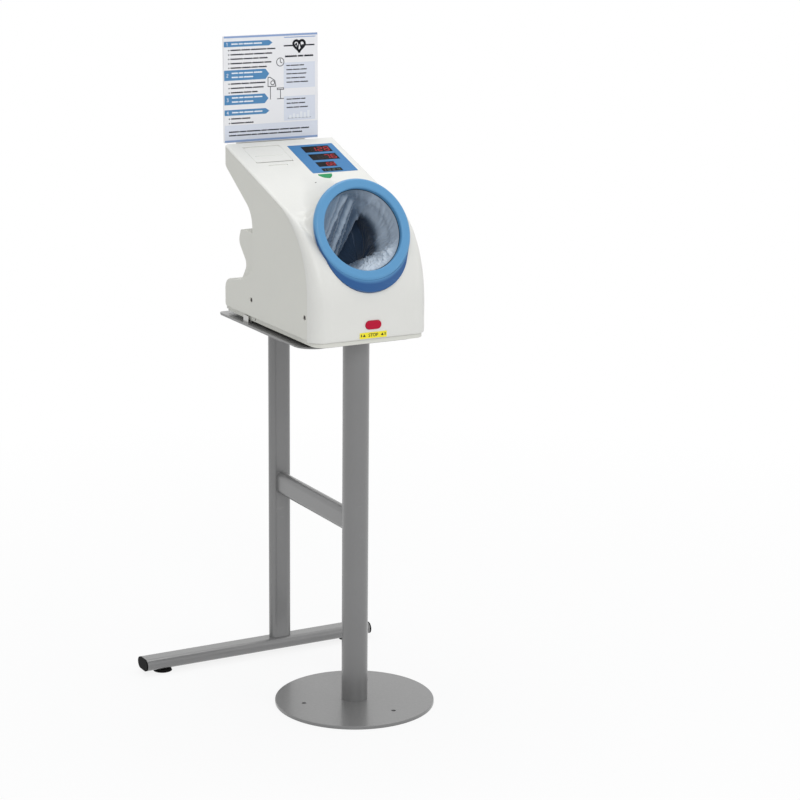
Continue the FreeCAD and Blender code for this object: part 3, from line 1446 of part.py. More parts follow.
def make_cuff():
    """The bladder in the drum and the fabric sleeve that lines the passage."""
    share = (d.bladder_start - drum_start) / d.drum_length
    tail = (d.bladder_end - drum_start) / d.drum_length
    taper = d.drum_front_radius - d.drum_rear_radius
    gap = d.drum_wall + 0.3
    front_radius = d.drum_front_radius - taper * share - gap
    rear_radius = d.drum_front_radius - taper * tail - gap
    free = d.passage_radius + d.sleeve_thickness + 0.9
    bladder = turned_body([
        (free + 9, -d.bladder_start), (front_radius, -d.bladder_start),
        (rear_radius, -d.bladder_end), (free + 7, -d.bladder_end),
        (free, -d.bladder_end + 26, 20), (free, -d.bladder_start - 26, 20)])
    on_axis(bladder)
    keep(bladder, "cuff_bladder")
    cloth = d.sleeve_thickness
    mouth = d.ring_inner - 0.6
    depth = d.ring_depth + 0.1
    narrow = d.passage_radius
    rear = d.drum_rear_radius - d.drum_wall - 1.2
    end = drum_end - 1
    sleeve = turned_body([
        (mouth - cloth, -depth), (mouth + 9, -depth), (mouth + 9, -depth - cloth), (mouth, -depth - cloth),
        (mouth - 5, -d.bladder_start + 6, 30), (narrow + cloth, -d.bladder_start - 26, 40),
        (narrow + cloth, -d.bladder_end + 26, 40), (rear, -end),
        (rear - cloth, -end), (narrow, -d.bladder_end + 26, 40),
        (narrow, -d.bladder_start - 26, 40), (mouth - 5 - cloth, -d.bladder_start + 6, 30)])
    on_axis(sleeve)
    keep(sleeve, "cuff_sleeve")


def make_saddles():
    """Two plates that carry the cuff drum on the base pan."""
    plates = []
    for y, drop in ((10, 20.5), (118, 8.5)):
        plate = span((-97, 97), (y, y + 3), (floor_top, axis_height(y) - drop))
        side = 12 if y > 50 else -9
        foot = span((-97, 97), sorted((y, y + side)), (floor_top, floor_top + 3))
        hollow = doc.addObject("Part::Cone", "drum_space")
        gap = d.fit_gap
        bind(hollow, Radius1=d.drum_rear_radius + gap, Radius2=d.drum_front_radius + gap, Height=d.drum_length)
        on_axis(hollow, drum_end)
        slot = rod(8, 400, (0, hose_y, floor_top))
        window = span((-30, 30), (y - 1, y + 4), (floor_top + 8, floor_top + 30))
        plates.append(cut(fuse(plate, foot), hollow, slot, window))
    keep(group(*plates), "drum_saddles")


# ---------------------------------------------------------------- display face

switches = []
windows = (
    ("systolic", d.large_window_top, d.wide_window, d.large_window_height),
    ("diastolic", d.second_window_top, d.wide_window, d.large_window_height),
    ("pulse", d.pulse_window_top, d.pulse_window, d.pulse_window_height),
    ("clock", d.clock_window_top, d.clock_window, d.clock_window_height),
)


def make_display():
    """The blue panel, its four windows, the digit modules and both boards."""
    panel = pad_body(rectangle((d.panel_left, d.panel_right), (-d.panel_bottom, -d.panel_top), 1.0),
                     d.panel_thickness)
    for _, top, length, height in windows:
        pocket(panel, rectangle((d.window_left, d.window_left + length), (-top - height, -top), 0.8),
               d.panel_thickness, reverse=True)
    on_slope(panel, out=d.panel_proud - d.panel_thickness)
    keep(panel, "display_panel")
    panes, modules = [], []
    board_top = -d.display_board_depth
    for _, top, length, height in windows:
        gap = d.fit_gap / 2
        pane = pad_body(rectangle((d.window_left + gap, d.window_left + length - gap),
                                  (-top - height + gap, -top - gap), 0.7), 1.6)
        on_slope(pane, out=d.panel_proud - d.panel_thickness + 0.1)
        panes.append(pane)
        module = pad_body(rectangle((d.window_left + 1, d.window_left + length - 1),
                                    (-top - height + 0.5, -top - 0.5), 0.5), d.module_height)
        on_slope(module, out=board_top)
        modules.append(module)
    keep(group(*panes), "display_windows")
    keep(group(*modules), "digit_modules")
    board = pad_body(rectangle((-10.8, 112), (-d.start_top - 28, -d.panel_top - 4), 2), d.board_thickness)
    on_slope(board, out=board_top - d.board_thickness)
    keep(board, "display_board")
    logic = pad_body(rectangle((-8, 106), (-d.start_top - 4, -d.panel_top - 32), 2), d.board_thickness)
    on_slope(logic, out=-d.main_board_depth)
    posts = []
    for x in (-4, 104):
        for down in (d.panel_top + 10, d.start_top + 22):
            posts.append(slope_rod(d.standoff_radius, x, down, board_top, -d.skin - d.fit_gap))
        for down in (d.panel_top + 38, d.start_top - 2):
            posts.append(slope_rod(d.standoff_radius, x - 2 * (x > 0) + 2 * (x < 0), down,
                                   -d.main_board_depth + d.board_thickness, board_top - d.board_thickness))
    keep(group(*posts), "board_standoffs")
    chips = []
    for x, down, side in ((20, 80, 16), (58, 96, 22), (84, 130, 12)):
        chip = pad_body(rectangle((x, x + side), (-down - side, -down), 0.5), 3)
        on_slope(chip, out=-d.main_board_depth + d.board_thickness)
        chips.append(chip)
    keep(fuse(logic, *chips), "main_board")


def slope_rod(radius, x, down, low, high):
    """A round post square to the display slope between two heights."""
    item = doc.addObject("Part::Cylinder", "post")
    bind(item, Radius=radius, Height=size(high) - low)
    return on_slope(item, x, down, low)


def make_start_button():
    """The green start button and the switch under it."""
    crown = slope_prism(start_outline(0), -6.4, d.start_proud)
    top_edges = [e for e in crown.Edges if is_top_edge(e, float(d.start_proud))]
    crown = crown.makeFillet(0.9, top_edges)
    flange = slope_prism(start_outline(d.button_flange), -5.2, -float(d.skin) - 0.25)
    stem = slope_box((d.start_centre - 3, d.start_centre + 3),
                     (d.start_top + 5, d.start_top + 11), (-7.6, -5))
    keep(free_shape(crown.fuse([flange, stem]).removeSplitter(), "start_button"), "start_button")
    switch = pad_body(rectangle((-5, 5), (-5, 5), 0.5), 5)
    on_slope(switch, d.start_centre, d.start_top + 8, -d.display_board_depth)
    switches.append(switch)


def is_top_edge(edge, out):
    """True for an edge that lies at a height over the display slope."""
    normal = V(0, -sin(d.slope_angle), cos(d.slope_angle))
    origin = vec(*slope_point(0, size(0), size(out)))
    return all(abs((v.Point - origin).dot(normal)) < 1e-5 for v in edge.Vertexes)


def make_stop_button():
    """The red stop button, its switch and the bracket behind it."""
    front = -float(d.front_face)
    length = float(d.stop_proud) + float(d.skin) + 4.6
    crown = stadium_rod(d.stop_length, d.stop_width, length)
    face = [e for e in crown.Edges if e.BoundBox.YMax < 1e-6]
    crown = crown.makeFillet(1.4, face)
    crown.translate(vec(0, front - float(d.stop_proud), d.stop_height))
    flange = stadium_rod(d.stop_length + 2 * d.button_flange, d.stop_width + 2 * d.button_flange, 1.6)
    flange.translate(vec(0, front + float(d.skin) + 0.3, d.stop_height))
    keep(free_shape(crown.fuse(flange).removeSplitter(), "stop_button"), "stop_button")
    back = d.skin + 4.6 - d.front_face
    switch = span((-9, 9), (back + d.stop_travel + 0.3, back + 16), (d.stop_height - 7, d.stop_height + 7))
    keep(group(switch, *switches), "button_switches")
    half = d.label_length / 2
    low = d.label_height - d.label_width / 2
    back = -d.front_face - d.label_thickness
    strip = span((-half, half), (back - d.label_thickness, back), (low, low + d.label_width))
    keep(strip, "yellow_strip")


def make_lamp():
    """The small ready lamp beside the start button."""
    outside = face_height(d.lamp_side, d.lamp_down) + 0.2
    lamp = slope_rod(1.5, d.lamp_side, d.lamp_down, -d.display_board_depth, outside)
    keep(lamp, "ready_lamp")


# ---------------------------------------------------------------- printer

def make_printer():
    """The printer under its hinged cover: frame, paper, platen, head and tear bar."""
    centre = d.printer_centre
    half = d.lid_width / 2
    barrel_half = half - d.knuckle_inset
    pin_hole = d.hinge_pin_radius + d.running_clearance
    lid_axis = -d.lid_knuckle_radius

    neck = d.lid_hinge + d.lid_knuckle_radius + 1
    plate = pad_body([
        (centre - half, -d.lid_end, 3), (centre + half, -d.lid_end, 3),
        (centre + half, -neck), (centre + barrel_half, -neck), (centre + barrel_half, -d.lid_hinge),
        (centre - barrel_half, -d.lid_hinge), (centre - barrel_half, -neck), (centre - half, -neck)], d.skin)
    on_slope(plate, out=-d.skin)
    barrel = rod(d.lid_knuckle_radius, barrel_half * 2,
                 slope_point(centre - barrel_half, d.lid_hinge, lid_axis), "X")
    bore = rod(pin_hole, barrel_half * 2, slope_point(centre - barrel_half, d.lid_hinge, lid_axis), "X")
    ridge = pad_body(rectangle((centre - 30, centre + 30), (-59.3, -57.7), 0.7), 0.5)
    on_slope(ridge, out=-0.1)
    keep(cut(fuse(plate, barrel, ridge), bore), "printer_cover")

    pin = rod(d.hinge_pin_radius, (barrel_half + d.ear_thickness + 0.3) * 2,
              slope_point(centre - barrel_half - d.ear_thickness - 0.3, d.lid_hinge, lid_axis), "X")
    keep(pin, "printer_hinge_pin")

    sides = []
    frame_rear = d.roll_position - 8
    spindle_hole, shaft_hole = d.spindle_radius, d.platen_shaft_radius + d.running_clearance
    for way in (-1, 1):
        first = barrel_half + 0.3
        x = sorted((centre + way * first, centre + way * (first + d.ear_thickness)), key=float)
        top = -d.skin - d.fit_gap
        plate_shape = fuse(slope_block(x, (frame_rear, d.lid_end + 12), (-d.frame_depth, top)),
                           slope_block(x, (d.roll_position - 22, frame_rear), (8 - d.frame_depth, top)))
        arm = slope_block(x, (d.lid_hinge, d.roll_position - 21), (-12, top))
        ear = rod(d.lid_knuckle_radius - 0.1, d.ear_thickness, slope_point(x[0], d.lid_hinge, lid_axis), "X")
        cheek = slope_block(x, (d.lid_hinge - d.lid_knuckle_radius + 0.1, d.lid_hinge + 6), (-12, top))
        solid = fuse(plate_shape, arm, ear, cheek)
        tools = [
            rod(d.hinge_pin_radius, d.ear_thickness, slope_point(x[0], d.lid_hinge, lid_axis), "X"),
            rod(spindle_hole, d.ear_thickness, slope_point(x[0], d.roll_position, -d.roll_depth), "X"),
            rod(shaft_hole, d.ear_thickness, slope_point(x[0], d.platen_position, -d.platen_depth), "X"),
        ]
        sides.append(cut(solid, *tools))
    tie = slope_block((centre - barrel_half - 0.4, centre + barrel_half + 0.4),
                      (frame_rear, d.lid_end + 12), (-d.frame_depth - d.frame_sheet, -d.frame_depth))
    keep(fuse(*sides, tie), "printer_frame")

    inner = barrel_half + 0.3
    spindle = rod(d.spindle_radius, (inner + d.ear_thickness) * 2,
                  slope_point(centre - inner - d.ear_thickness, d.roll_position, -d.roll_depth), "X")
    keep(spindle, "paper_spindle")
    at = slope_point(centre - d.roll_width / 2, d.roll_position, -d.roll_depth)
    bore = rod(d.spindle_radius + d.running_clearance, d.roll_width, at, "X")
    keep(cut(rod(d.roll_radius, d.roll_width, at, "X"), bore), "paper_roll")

    width = d.roll_width + 3
    at = slope_point(centre - width / 2, d.platen_position, -d.platen_depth)
    sleeve = rod(d.platen_radius, width, at, "X")
    shaft = rod(d.platen_shaft_radius, (inner + d.ear_thickness) * 2,
                slope_point(centre - inner - d.ear_thickness, d.platen_position, -d.platen_depth), "X")
    keep(fuse(sleeve, shaft), "platen_roller")

    reach = d.platen_position + d.platen_radius + 0.2
    head = slope_block((centre - inner, centre + inner), (reach, reach + 6), (-18, -d.skin - 0.4))
    keep(head, "print_head")
    slot = d.lid_end + d.slot_gap
    blade = slope_block((centre - width / 2, centre + width / 2), (slot - 0.8, slot), (-3.4, -0.4))
    keep(blade, "tear_bar")


def slope_block(x, down, out):
    """A bound box in the display slope's own directions."""
    item = doc.addObject("Part::Box", "slope_block")
    bind(item, Length=size(x[1]) - x[0], Width=size(down[1]) - down[0], Height=size(out[1]) - out[0])
    return on_slope(item, x[0], down[1], out[0])


# ---------------------------------------------------------------- supplies

def make_supplies():
    """Power supply, pump, valve, hose, speaker, inlet and power switch."""
    supply = span((-100, -22), (-50, 0), (floor_top, floor_top + 30))
    keep(supply, "power_supply")
    pump = rod(pump_radius, 62, (26, pump_y, floor_top + pump_radius + 2), "X")
    neck = rod(6, 12, (88, pump_y, floor_top + pump_radius + 2), "X")
    keep(fuse(pump, neck), "air_pump")
    valve = span((-14, 14), (hose_y - 13, hose_y + 11), (floor_top, floor_top + 24))
    spout = rod(4, 8, (0, hose_y, floor_top + 24))
    keep(fuse(valve, spout), "exhaust_valve")
    hose = rod(4, hose_top - floor_top - 32, (0, hose_y, floor_top + 32))
    keep(hose, "air_hose")
    cage = rod(20, 6, (speaker_x, speaker_y, floor_top))
    magnet = rod(11, 9, (speaker_x, speaker_y, floor_top + 6))
    keep(fuse(cage, magnet), "speaker")
    rear = d.deck_rear - 1
    z = d.inlet_height
    socket = span((d.inlet_x - 13.7, d.inlet_x + 13.7), (rear - 20, rear), (z - 10, z + 10))
    lip = span((d.inlet_x - 16, d.inlet_x + 16), (rear, rear + 1.5), (z - 12, z + 12))
    recess = span((d.inlet_x - 11, d.inlet_x + 11), (rear - 14, rear + 1.5), (z - 7, z + 7))
    pins = [span((d.inlet_x + x - 1, d.inlet_x + x + 1), (rear - 15, rear - 3), (z - 2, z + 2)) for x in (-6, 0, 6)]
    keep(fuse(cut(fuse(socket, lip), recess), *pins), "power_inlet")
    case = span((d.switch_x - 10, d.switch_x + 10), (rear - 16, rear), (z - 6.6, z + 6.6))
    rim = span((d.switch_x - 11.5, d.switch_x + 11.5), (rear, rear + 1.2), (z - 8, z + 8))
    well = span((d.switch_x - 8, d.switch_x + 8), (rear - 10, rear + 1.2), (z - 5.2, z + 5.2))
    pivot = (d.switch_x, rear - 1.5, z - 6)
    hole = rod(1.2 + d.running_clearance, 12.4, pivot)
    keep(cut(fuse(case, rim), well, hole), "power_switch_case")
    rocker = pad_body([(-7.2, 0.2), (-4, -4.5), (4, -4.5), (7.2, -1.8), (7.2, 1.0), (0, -0.4), (-7.2, 3.2)],
                      9.6, midplane=True)
    place(rocker, (d.switch_x, rear - 1.5, z), Rotation(V(1, 0, 0), 0))
    keep(fuse(rocker, rod(1.2, 12, pivot)), "power_rocker")


# ---------------------------------------------------------------- sign

def make_sign():
    """The sign board behind the head, its holder and the screws of the holder."""
    lean = Rotation(V(1, 0, 0), -float(d.sign_lean))
    half = d.sign_width / 2
    board = pad_body(rectangle((-half, half), (0, d.sign_length), 2), d.sign_thickness, plane="XZ_Plane",
                     reverse=True)
    place(board, (d.sign_centre, d.sign_reach, d.sign_bottom_height), lean)
    keep(board, "sign_panel")
    sheet = d.holder_sheet
    rear = d.rear_face - 1
    reach = d.sign_reach
    low = d.sign_bottom_height - d.holder_drop
    across = (d.sign_centre - d.holder_length / 2, d.sign_centre + d.holder_length / 2)
    web = span(across, (rear + 0.05, reach + d.sign_thickness + sheet - 0.4), (low, low + sheet))
    flange = span(across, (rear + 0.05, rear + 0.05 + sheet), (low, low + 22))
    back = block((d.holder_length, sheet, d.holder_back + d.holder_drop - 0.5), (0, 0, 0))
    foot = lean.multVec(V(0, float(d.sign_thickness) + 0.05, 0.5 - float(d.holder_drop)))
    place(back, (across[0], reach + foot.y, d.sign_bottom_height + foot.z), lean)
    solid = fuse(web, flange, back)
    drills, screws = [], []
    for x in (-52, 0, 52):
        at = (d.sign_centre + x, rear - d.skin + 0.05, low + 14)
        drills.append(rod(1.7, d.skin + sheet, at, "Y"))
        shank = rod(1.6, d.skin + sheet, at, "Y")
        head = rod(3.2, 1.6, (d.sign_centre + x, rear + 0.05 + sheet, low + 14), "Y")
        screws.append(fuse(shank, head))
    keep(cut(solid, *drills), "sign_holder")
    keep(group(*screws), "sign_screws")


def drill_rear_cover():
    """Takes the holes of the sign screws out of the rear cover."""
    cover = [p for p in parts if p.Label == "rear_cover"][0]
    rear = float(d.rear_face) - 1
    low = float(d.sign_bottom_height) - float(d.holder_drop)
    shape = cover.Shape
    for x in (-52, 0, 52):
        at = V(float(d.sign_centre) + x, rear - float(d.skin) - 1, low + 14)
        shape = shape.cut(Part.makeCylinder(1.6, float(d.skin) + 3, at, V(0, 1, 0)))
    cover.Shape = shape


# ---------------------------------------------------------------- model

def check_and_write():
    """Checks every object of the document and writes one STEP file per piece."""
    doc.recompute()
    for item in doc.Objects:
        if {"Invalid", "Error"} & set(item.State):
            raise ValueError("%s is in state %s" % (item.Label, item.State))
    os.makedirs("parts", exist_ok=True)
    for piece in parts:
        shape = piece.Shape
        if shape.isNull() or not shape.isValid() or not shape.Solids:
            raise ValueError("%s has no valid solid" % piece.Label)
        shape.exportStep("parts/%s.step" % piece.Label)
        print("%-22s %2d solids %10.0f mm3" % (piece.Label, len(shape.Solids), shape.Volume))
    print(len(parts), "pieces")


for build in (
    make_base_disc, make_column, make_rear_frame, make_end_caps, make_glides, make_top_plate,
    make_plate_fasteners, make_rubber_feet, make_hold_downs, make_front_cover, make_side_covers,
    make_side_screws, make_rear_cover, make_rear_cowl, make_arm_deck, make_arm_pad, make_base_pan,
    make_ring, make_drum, make_cuff, make_saddles, make_display, make_start_button, make_stop_button,
    make_lamp, make_printer, make_supplies, make_sign, drill_rear_cover,
):
    build()
check_and_write()
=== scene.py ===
"""Arm-in blood pressure monitor on its stand: finishes, cuff sleeve, readings, prints, light and camera."""
import json
import logging
import math
from collections.abc import Sequence
from dataclasses import dataclass, field
from enum import Enum

import bpy
from mathutils import Matrix, Vector, noise


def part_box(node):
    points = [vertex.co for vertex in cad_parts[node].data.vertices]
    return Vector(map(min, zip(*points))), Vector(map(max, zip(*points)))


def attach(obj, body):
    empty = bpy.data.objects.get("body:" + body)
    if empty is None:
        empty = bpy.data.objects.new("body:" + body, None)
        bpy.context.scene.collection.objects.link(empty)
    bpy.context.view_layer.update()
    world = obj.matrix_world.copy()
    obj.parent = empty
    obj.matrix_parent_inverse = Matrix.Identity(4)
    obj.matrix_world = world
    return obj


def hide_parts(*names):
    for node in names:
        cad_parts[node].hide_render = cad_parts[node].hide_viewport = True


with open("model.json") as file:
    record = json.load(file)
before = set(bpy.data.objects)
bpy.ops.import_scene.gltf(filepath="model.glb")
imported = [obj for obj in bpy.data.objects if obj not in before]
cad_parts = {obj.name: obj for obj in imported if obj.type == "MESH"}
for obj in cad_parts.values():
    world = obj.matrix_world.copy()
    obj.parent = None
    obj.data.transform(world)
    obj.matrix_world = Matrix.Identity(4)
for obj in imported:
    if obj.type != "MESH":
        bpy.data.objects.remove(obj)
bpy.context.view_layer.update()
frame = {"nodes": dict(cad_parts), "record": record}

MM = 0.001
BODY = "monitor"
ACROSS = Vector((1.0, 0.0, 0.0))
WHITE = (1.0, 1.0, 1.0, 1.0)

# The arm ring: the middle of its face in metres, and how far that face leans back in degrees.
RING_CENTRE = (0.0, -0.028, 0.943)
RING_TILT = 24.5

logging.basicConfig(level=logging.INFO, format="%(name)s: %(message)s")
log = logging.getLogger("monitor")

Colour = tuple[int, int, int]
Point = tuple[float, float]
Place = tuple[float, float, float]
Linear = tuple[float, float, float, float]
Node, Socket, Tree = bpy.types.Node, bpy.types.NodeSocket, bpy.types.NodeTree


def linear(colour: Colour, gain: float = 1.0, lift: float = 0.0) -> Linear:
    """Turn a display colour into the linear colour that a shader takes.

    Args:
        colour: red, green and blue from 0 to 255.
        gain: what the linear shares are multiplied by.
        lift: what is added to them.

    Returns:
        Linear red, green, blue and an alpha of 1.
    """
    shares = [c / 255 for c in colour]
    plain = [s / 12.92 if s <= 0.04045 else ((s + 0.055) / 1.055) ** 2.4 for s in shares]
    return tuple(min(s * gain + lift, 1.0) for s in plain) + (1.0,)


def smooth_step(low: float, high: float, value: float) -> float:
    """Rise smoothly from 0 at low to 1 at high.

    Args:
        low: where the rise starts.
        high: where the rise ends.
        value: the place on the way.

    Returns:
        The share from 0 to 1.
    """
    share = min(max((value - low) / (high - low), 0.0), 1.0)
    return share * share * (3 - 2 * share)


def follow(profile: tuple[Point, ...], place: float) -> float:
    """Follow a profile with smooth steps between its points.

    Args:
        profile: its points, each a place and the value there.
        place: where to read it.

    Returns:
        The value at the place, held after the last point.
    """
    for (start, first), (end, last) in zip(profile, profile[1:]):
        if place <= end:
            return first + (last - first) * smooth_step(start, end, place)
    return profile[-1][1]


class Ink(Enum):
    """The colours that the sign is printed in, from the lowest layer up."""

    PALE = "pale"
    STRIPE = "stripe"
    BLUE = "blue"
    DARK = "ink"
    WHITE = "white"


# ---------------------------------------------------------------- node trees


class Graph:
    """A node tree with short ways to add and join its nodes."""

    def __init__(self, tree: Tree) -> None:
        """Hold the tree and clear it."""
        self.tree = tree
        tree.nodes.clear()

    def add(self, kind: str, **settings: object) -> Node:
        """Add a node.

        Args:
            kind: the node's type name without the ShaderNode prefix.
            settings: attributes to set on it.

        Returns:
            The new node.
        """
        node = self.tree.nodes.new("ShaderNode" + kind)
        for name, value in settings.items():
            setattr(node, name, value)
        return node

    def put(self, source: object, target: Socket) -> None:
        """Join an output to an input, or set a plain value on it.

        Args:
            source: an output socket, a number or a colour.
            target: the input socket.
        """
        if isinstance(source, Socket):
            self.tree.links.new(source, target)
        else:
            target.default_value = source

    def fill(self, node: Node, **values: object) -> Node:
        """Fill a node's inputs.

        Args:
            node: the node.
            values: outputs, numbers or colours by input name, with _ for a space.

        Returns:
            The same node.
        """
        for name, value in values.items():
            self.put(value, node.inputs[name.replace("_", " ")])
        return node

    def place(self, kind: str = "Object") -> Socket:
        """Give the texture coordinate of a kind."""
        return self.add("TexCoord").outputs[kind]

    def stretch(self, place: object, scale: Place, **values: object) -> Socket:
        """Scale a place along each axis, and turn it where values holds a Rotation."""
        return self.fill(self.add("Mapping"), Vector=place, Scale=scale, **values).outputs[0]

    def noise(self, place: object, scale: object, detail: float = 2.0) -> Socket:
        """Lay soft noise over a place.

        Args:
            place: where on the surface.
            scale: how fine it is, per metre.
            detail: how many finer layers it has.

        Returns:
            The noise, round 0.5.
        """
        node = self.add("TexNoise", noise_dimensions="3D")
        return self.fill(node, Vector=place, Scale=scale, Detail=detail).outputs["Fac"]

    def feed(self, node: Node, *values: object) -> Node:
        """Fill a node's inputs in order.

        Args:
            node: the node.
            values: outputs, numbers or colours.

        Returns:
            The same node.
        """
        for value, target in zip(values, node.inputs):
            self.put(value, target)
        return node

    def vector(self, operation: str, *values: object) -> Node:
        """Work on one or two vectors with a Vector Math node, and give the node."""
        return self.feed(self.add("VectorMath", operation=operation), *values)

    def parts(self, vector: object) -> object:
        """Split a vector, and give its X, Y and Z by name."""
        return self.fill(self.add("SeparateXYZ"), Vector=vector).outputs

    def math(self, operation: str, *values: object) -> Socket:
        """Work out a sum, product or other step of arithmetic, by the Math node's operation."""
        return self.feed(self.add("Math", operation=operation), *values).outputs[0]

    def mix(self, share: object, first: object, second: object) -> Socket:
        """Mix two colours.

        Args:
            share: how much of the second, from 0 to 1.
            first: the colour at 0.
            second: the colour at 1.

        Returns:
            The mixed colour's socket.
        """
        node = self.add("Mix", data_type="RGBA")
        for value, target in zip((share, first, second), (node.inputs[0], node.inputs[6], node.inputs[7])):
            self.put(value, target)
        return node.outputs[2]

    def span(self, value: object, low: float, high: float, start: float = 0.0, end: float = 1.0) -> Socket:
        """Map a value from one range to another, held at the ends.

        Args:
            value: the value's socket.
            low: lowest value taken.
            high: highest value taken.
            start: what the lowest becomes.
            end: what the highest becomes.

        Returns:
            The mapped value's socket.
        """
        return self.feed(self.add("MapRange", clamp=True), value, low, high, start, end).outputs[0]

    def group(self, tree: Tree, **values: object) -> Node:
        """Place a node group.

        Args:
            tree: the group's own tree.
            values: its inputs by name, with _ for a space.

        Returns:
            The group node.
        """
        return self.fill(self.add("Group", node_tree=tree), **values)

    def blend(self, share: object, first: Node, second: Node, output: str) -> None:
        """Mix two shaders and put the mix on the tree's output.

        Args:
            share: how much of the second, from 0 to 1.
            first: the shader at 0.
            second: the shader at 1.
            output: the output node's kind.
        """
        mixed = self.feed(self.add("MixShader"), share, first.outputs[0], second.outputs[0])
        self.fill(self.add(output), Surface=mixed.outputs[0])


def new_group(name: str, inputs: dict[str, float], outputs: list[str]) -> tuple[Graph, object, object]:
    """Start a shader node group of plain values.

    Args:
        name: the group's name.
        inputs: its inputs with their first values.
        outputs: its outputs.

    Returns:
        The group's graph, its input node and its output node.
    """
    tree = bpy.data.node_groups.new(name, "ShaderNodeTree")
    for label, value in inputs.items():
        socket = tree.interface.new_socket(label, in_out="INPUT", socket_type="NodeSocketFloat")
        socket.default_value = value
    for label in outputs:
        tree.interface.new_socket(label, in_out="OUTPUT", socket_type="NodeSocketFloat")
    graph = Graph(tree)
    return graph, tree.nodes.new("NodeGroupInput"), tree.nodes.new("NodeGroupOutput")


def grain_group() -> Tree:
    """Build the fine grain of moulded plastic and powder paint, with broad clouding.

    Returns:
        A group with Height and Cloud, both from 0 to 1.
    """
    graph, given, result = new_group("moulded_grain", {"Size mm": 0.7}, ["Height", "Cloud"])
    fine = graph.noise(graph.place(), graph.math("DIVIDE", 1 / MM, given.outputs["Size mm"]))
    broad = graph.noise(graph.place(), 9.0, 3.0)
    graph.fill(result, Height=fine, Cloud=graph.span(broad, 0.3, 0.7))
    return graph.tree


def scuff_group() -> Tree:
    """Build sparse fine rubbing marks: thin slanting lines inside some patches.

    Returns:
        A group with Mask, from 0 to 1.
    """
    graph, given, result = new_group("handling_scuffs", {"Amount": 0.3}, ["Mask"])
    lines = graph.noise(graph.stretch(graph.place(), (40.0, 900.0, 120.0), Rotation=(0.5, 0.3, 0.8)), 1.0)
    patches = graph.noise(graph.place(), 14.0)
    marks = graph.math("MULTIPLY", graph.span(lines, 0.62, 0.7), graph.span(patches, 0.5, 0.68))
    graph.fill(result, Mask=graph.math("MULTIPLY", marks, given.outputs["Amount"]))
    return graph.tree


def dust_group() -> Tree:
    """Build the dust that settles on faces that look up.

    Returns:
        A group with Mask, from 0 to 1.
    """
    graph, given, result = new_group("settled_dust", {"Amount": 0.3}, ["Mask"])
    upward = graph.span(graph.parts(graph.add("NewGeometry").outputs["Normal"])["Z"], 0.6, 1.0)
    specks = graph.span(graph.noise(graph.place(), 160.0, 4.0), 0.4, 0.75, 0.2)
    settled = graph.math("MULTIPLY", upward, specks)
    graph.fill(result, Mask=graph.math("MULTIPLY", settled, given.outputs["Amount"]))
    return graph.tree


def weave_group() -> Tree:
    """Build the plain weave of thin nylon, over UVs in metres.

    Returns:
        A group with Height, from 0 to 1.
    """
    graph, given, result = new_group("nylon_weave", {"Thread mm": 0.5}, ["Height"])
    cloth = graph.parts(graph.place("UV"))
    turn = graph.math("DIVIDE", 2 * math.pi / MM, given.outputs["Thread mm"])
    warp, weft = (graph.math("SINE", graph.math("MULTIPLY", cloth[axis], turn)) for axis in "XY")
    graph.fill(result, Height=graph.span(graph.math("MULTIPLY", warp, weft), -1.0, 1.0))
    return graph.tree


GRAIN = grain_group()
SCUFFS = scuff_group()
DUST = dust_group()
WEAVE = weave_group()

# ---------------------------------------------------------------- finishes


DUST_COLOUR = (188, 186, 180)
TRACK_GREEN = (70, 140, 84)
LACQUER_ROUGHNESS = 0.15
ROUGHNESS_SPREAD = 0.07
SCUFF_ROUGHNESS, DUST_ROUGHNESS = 0.2, 0.3
RUBBED_GAIN, RUBBED_LIFT = 1.25, 0.02
GLOW_LOW, GLOW_GRAIN_MM = 0.85, 0.4


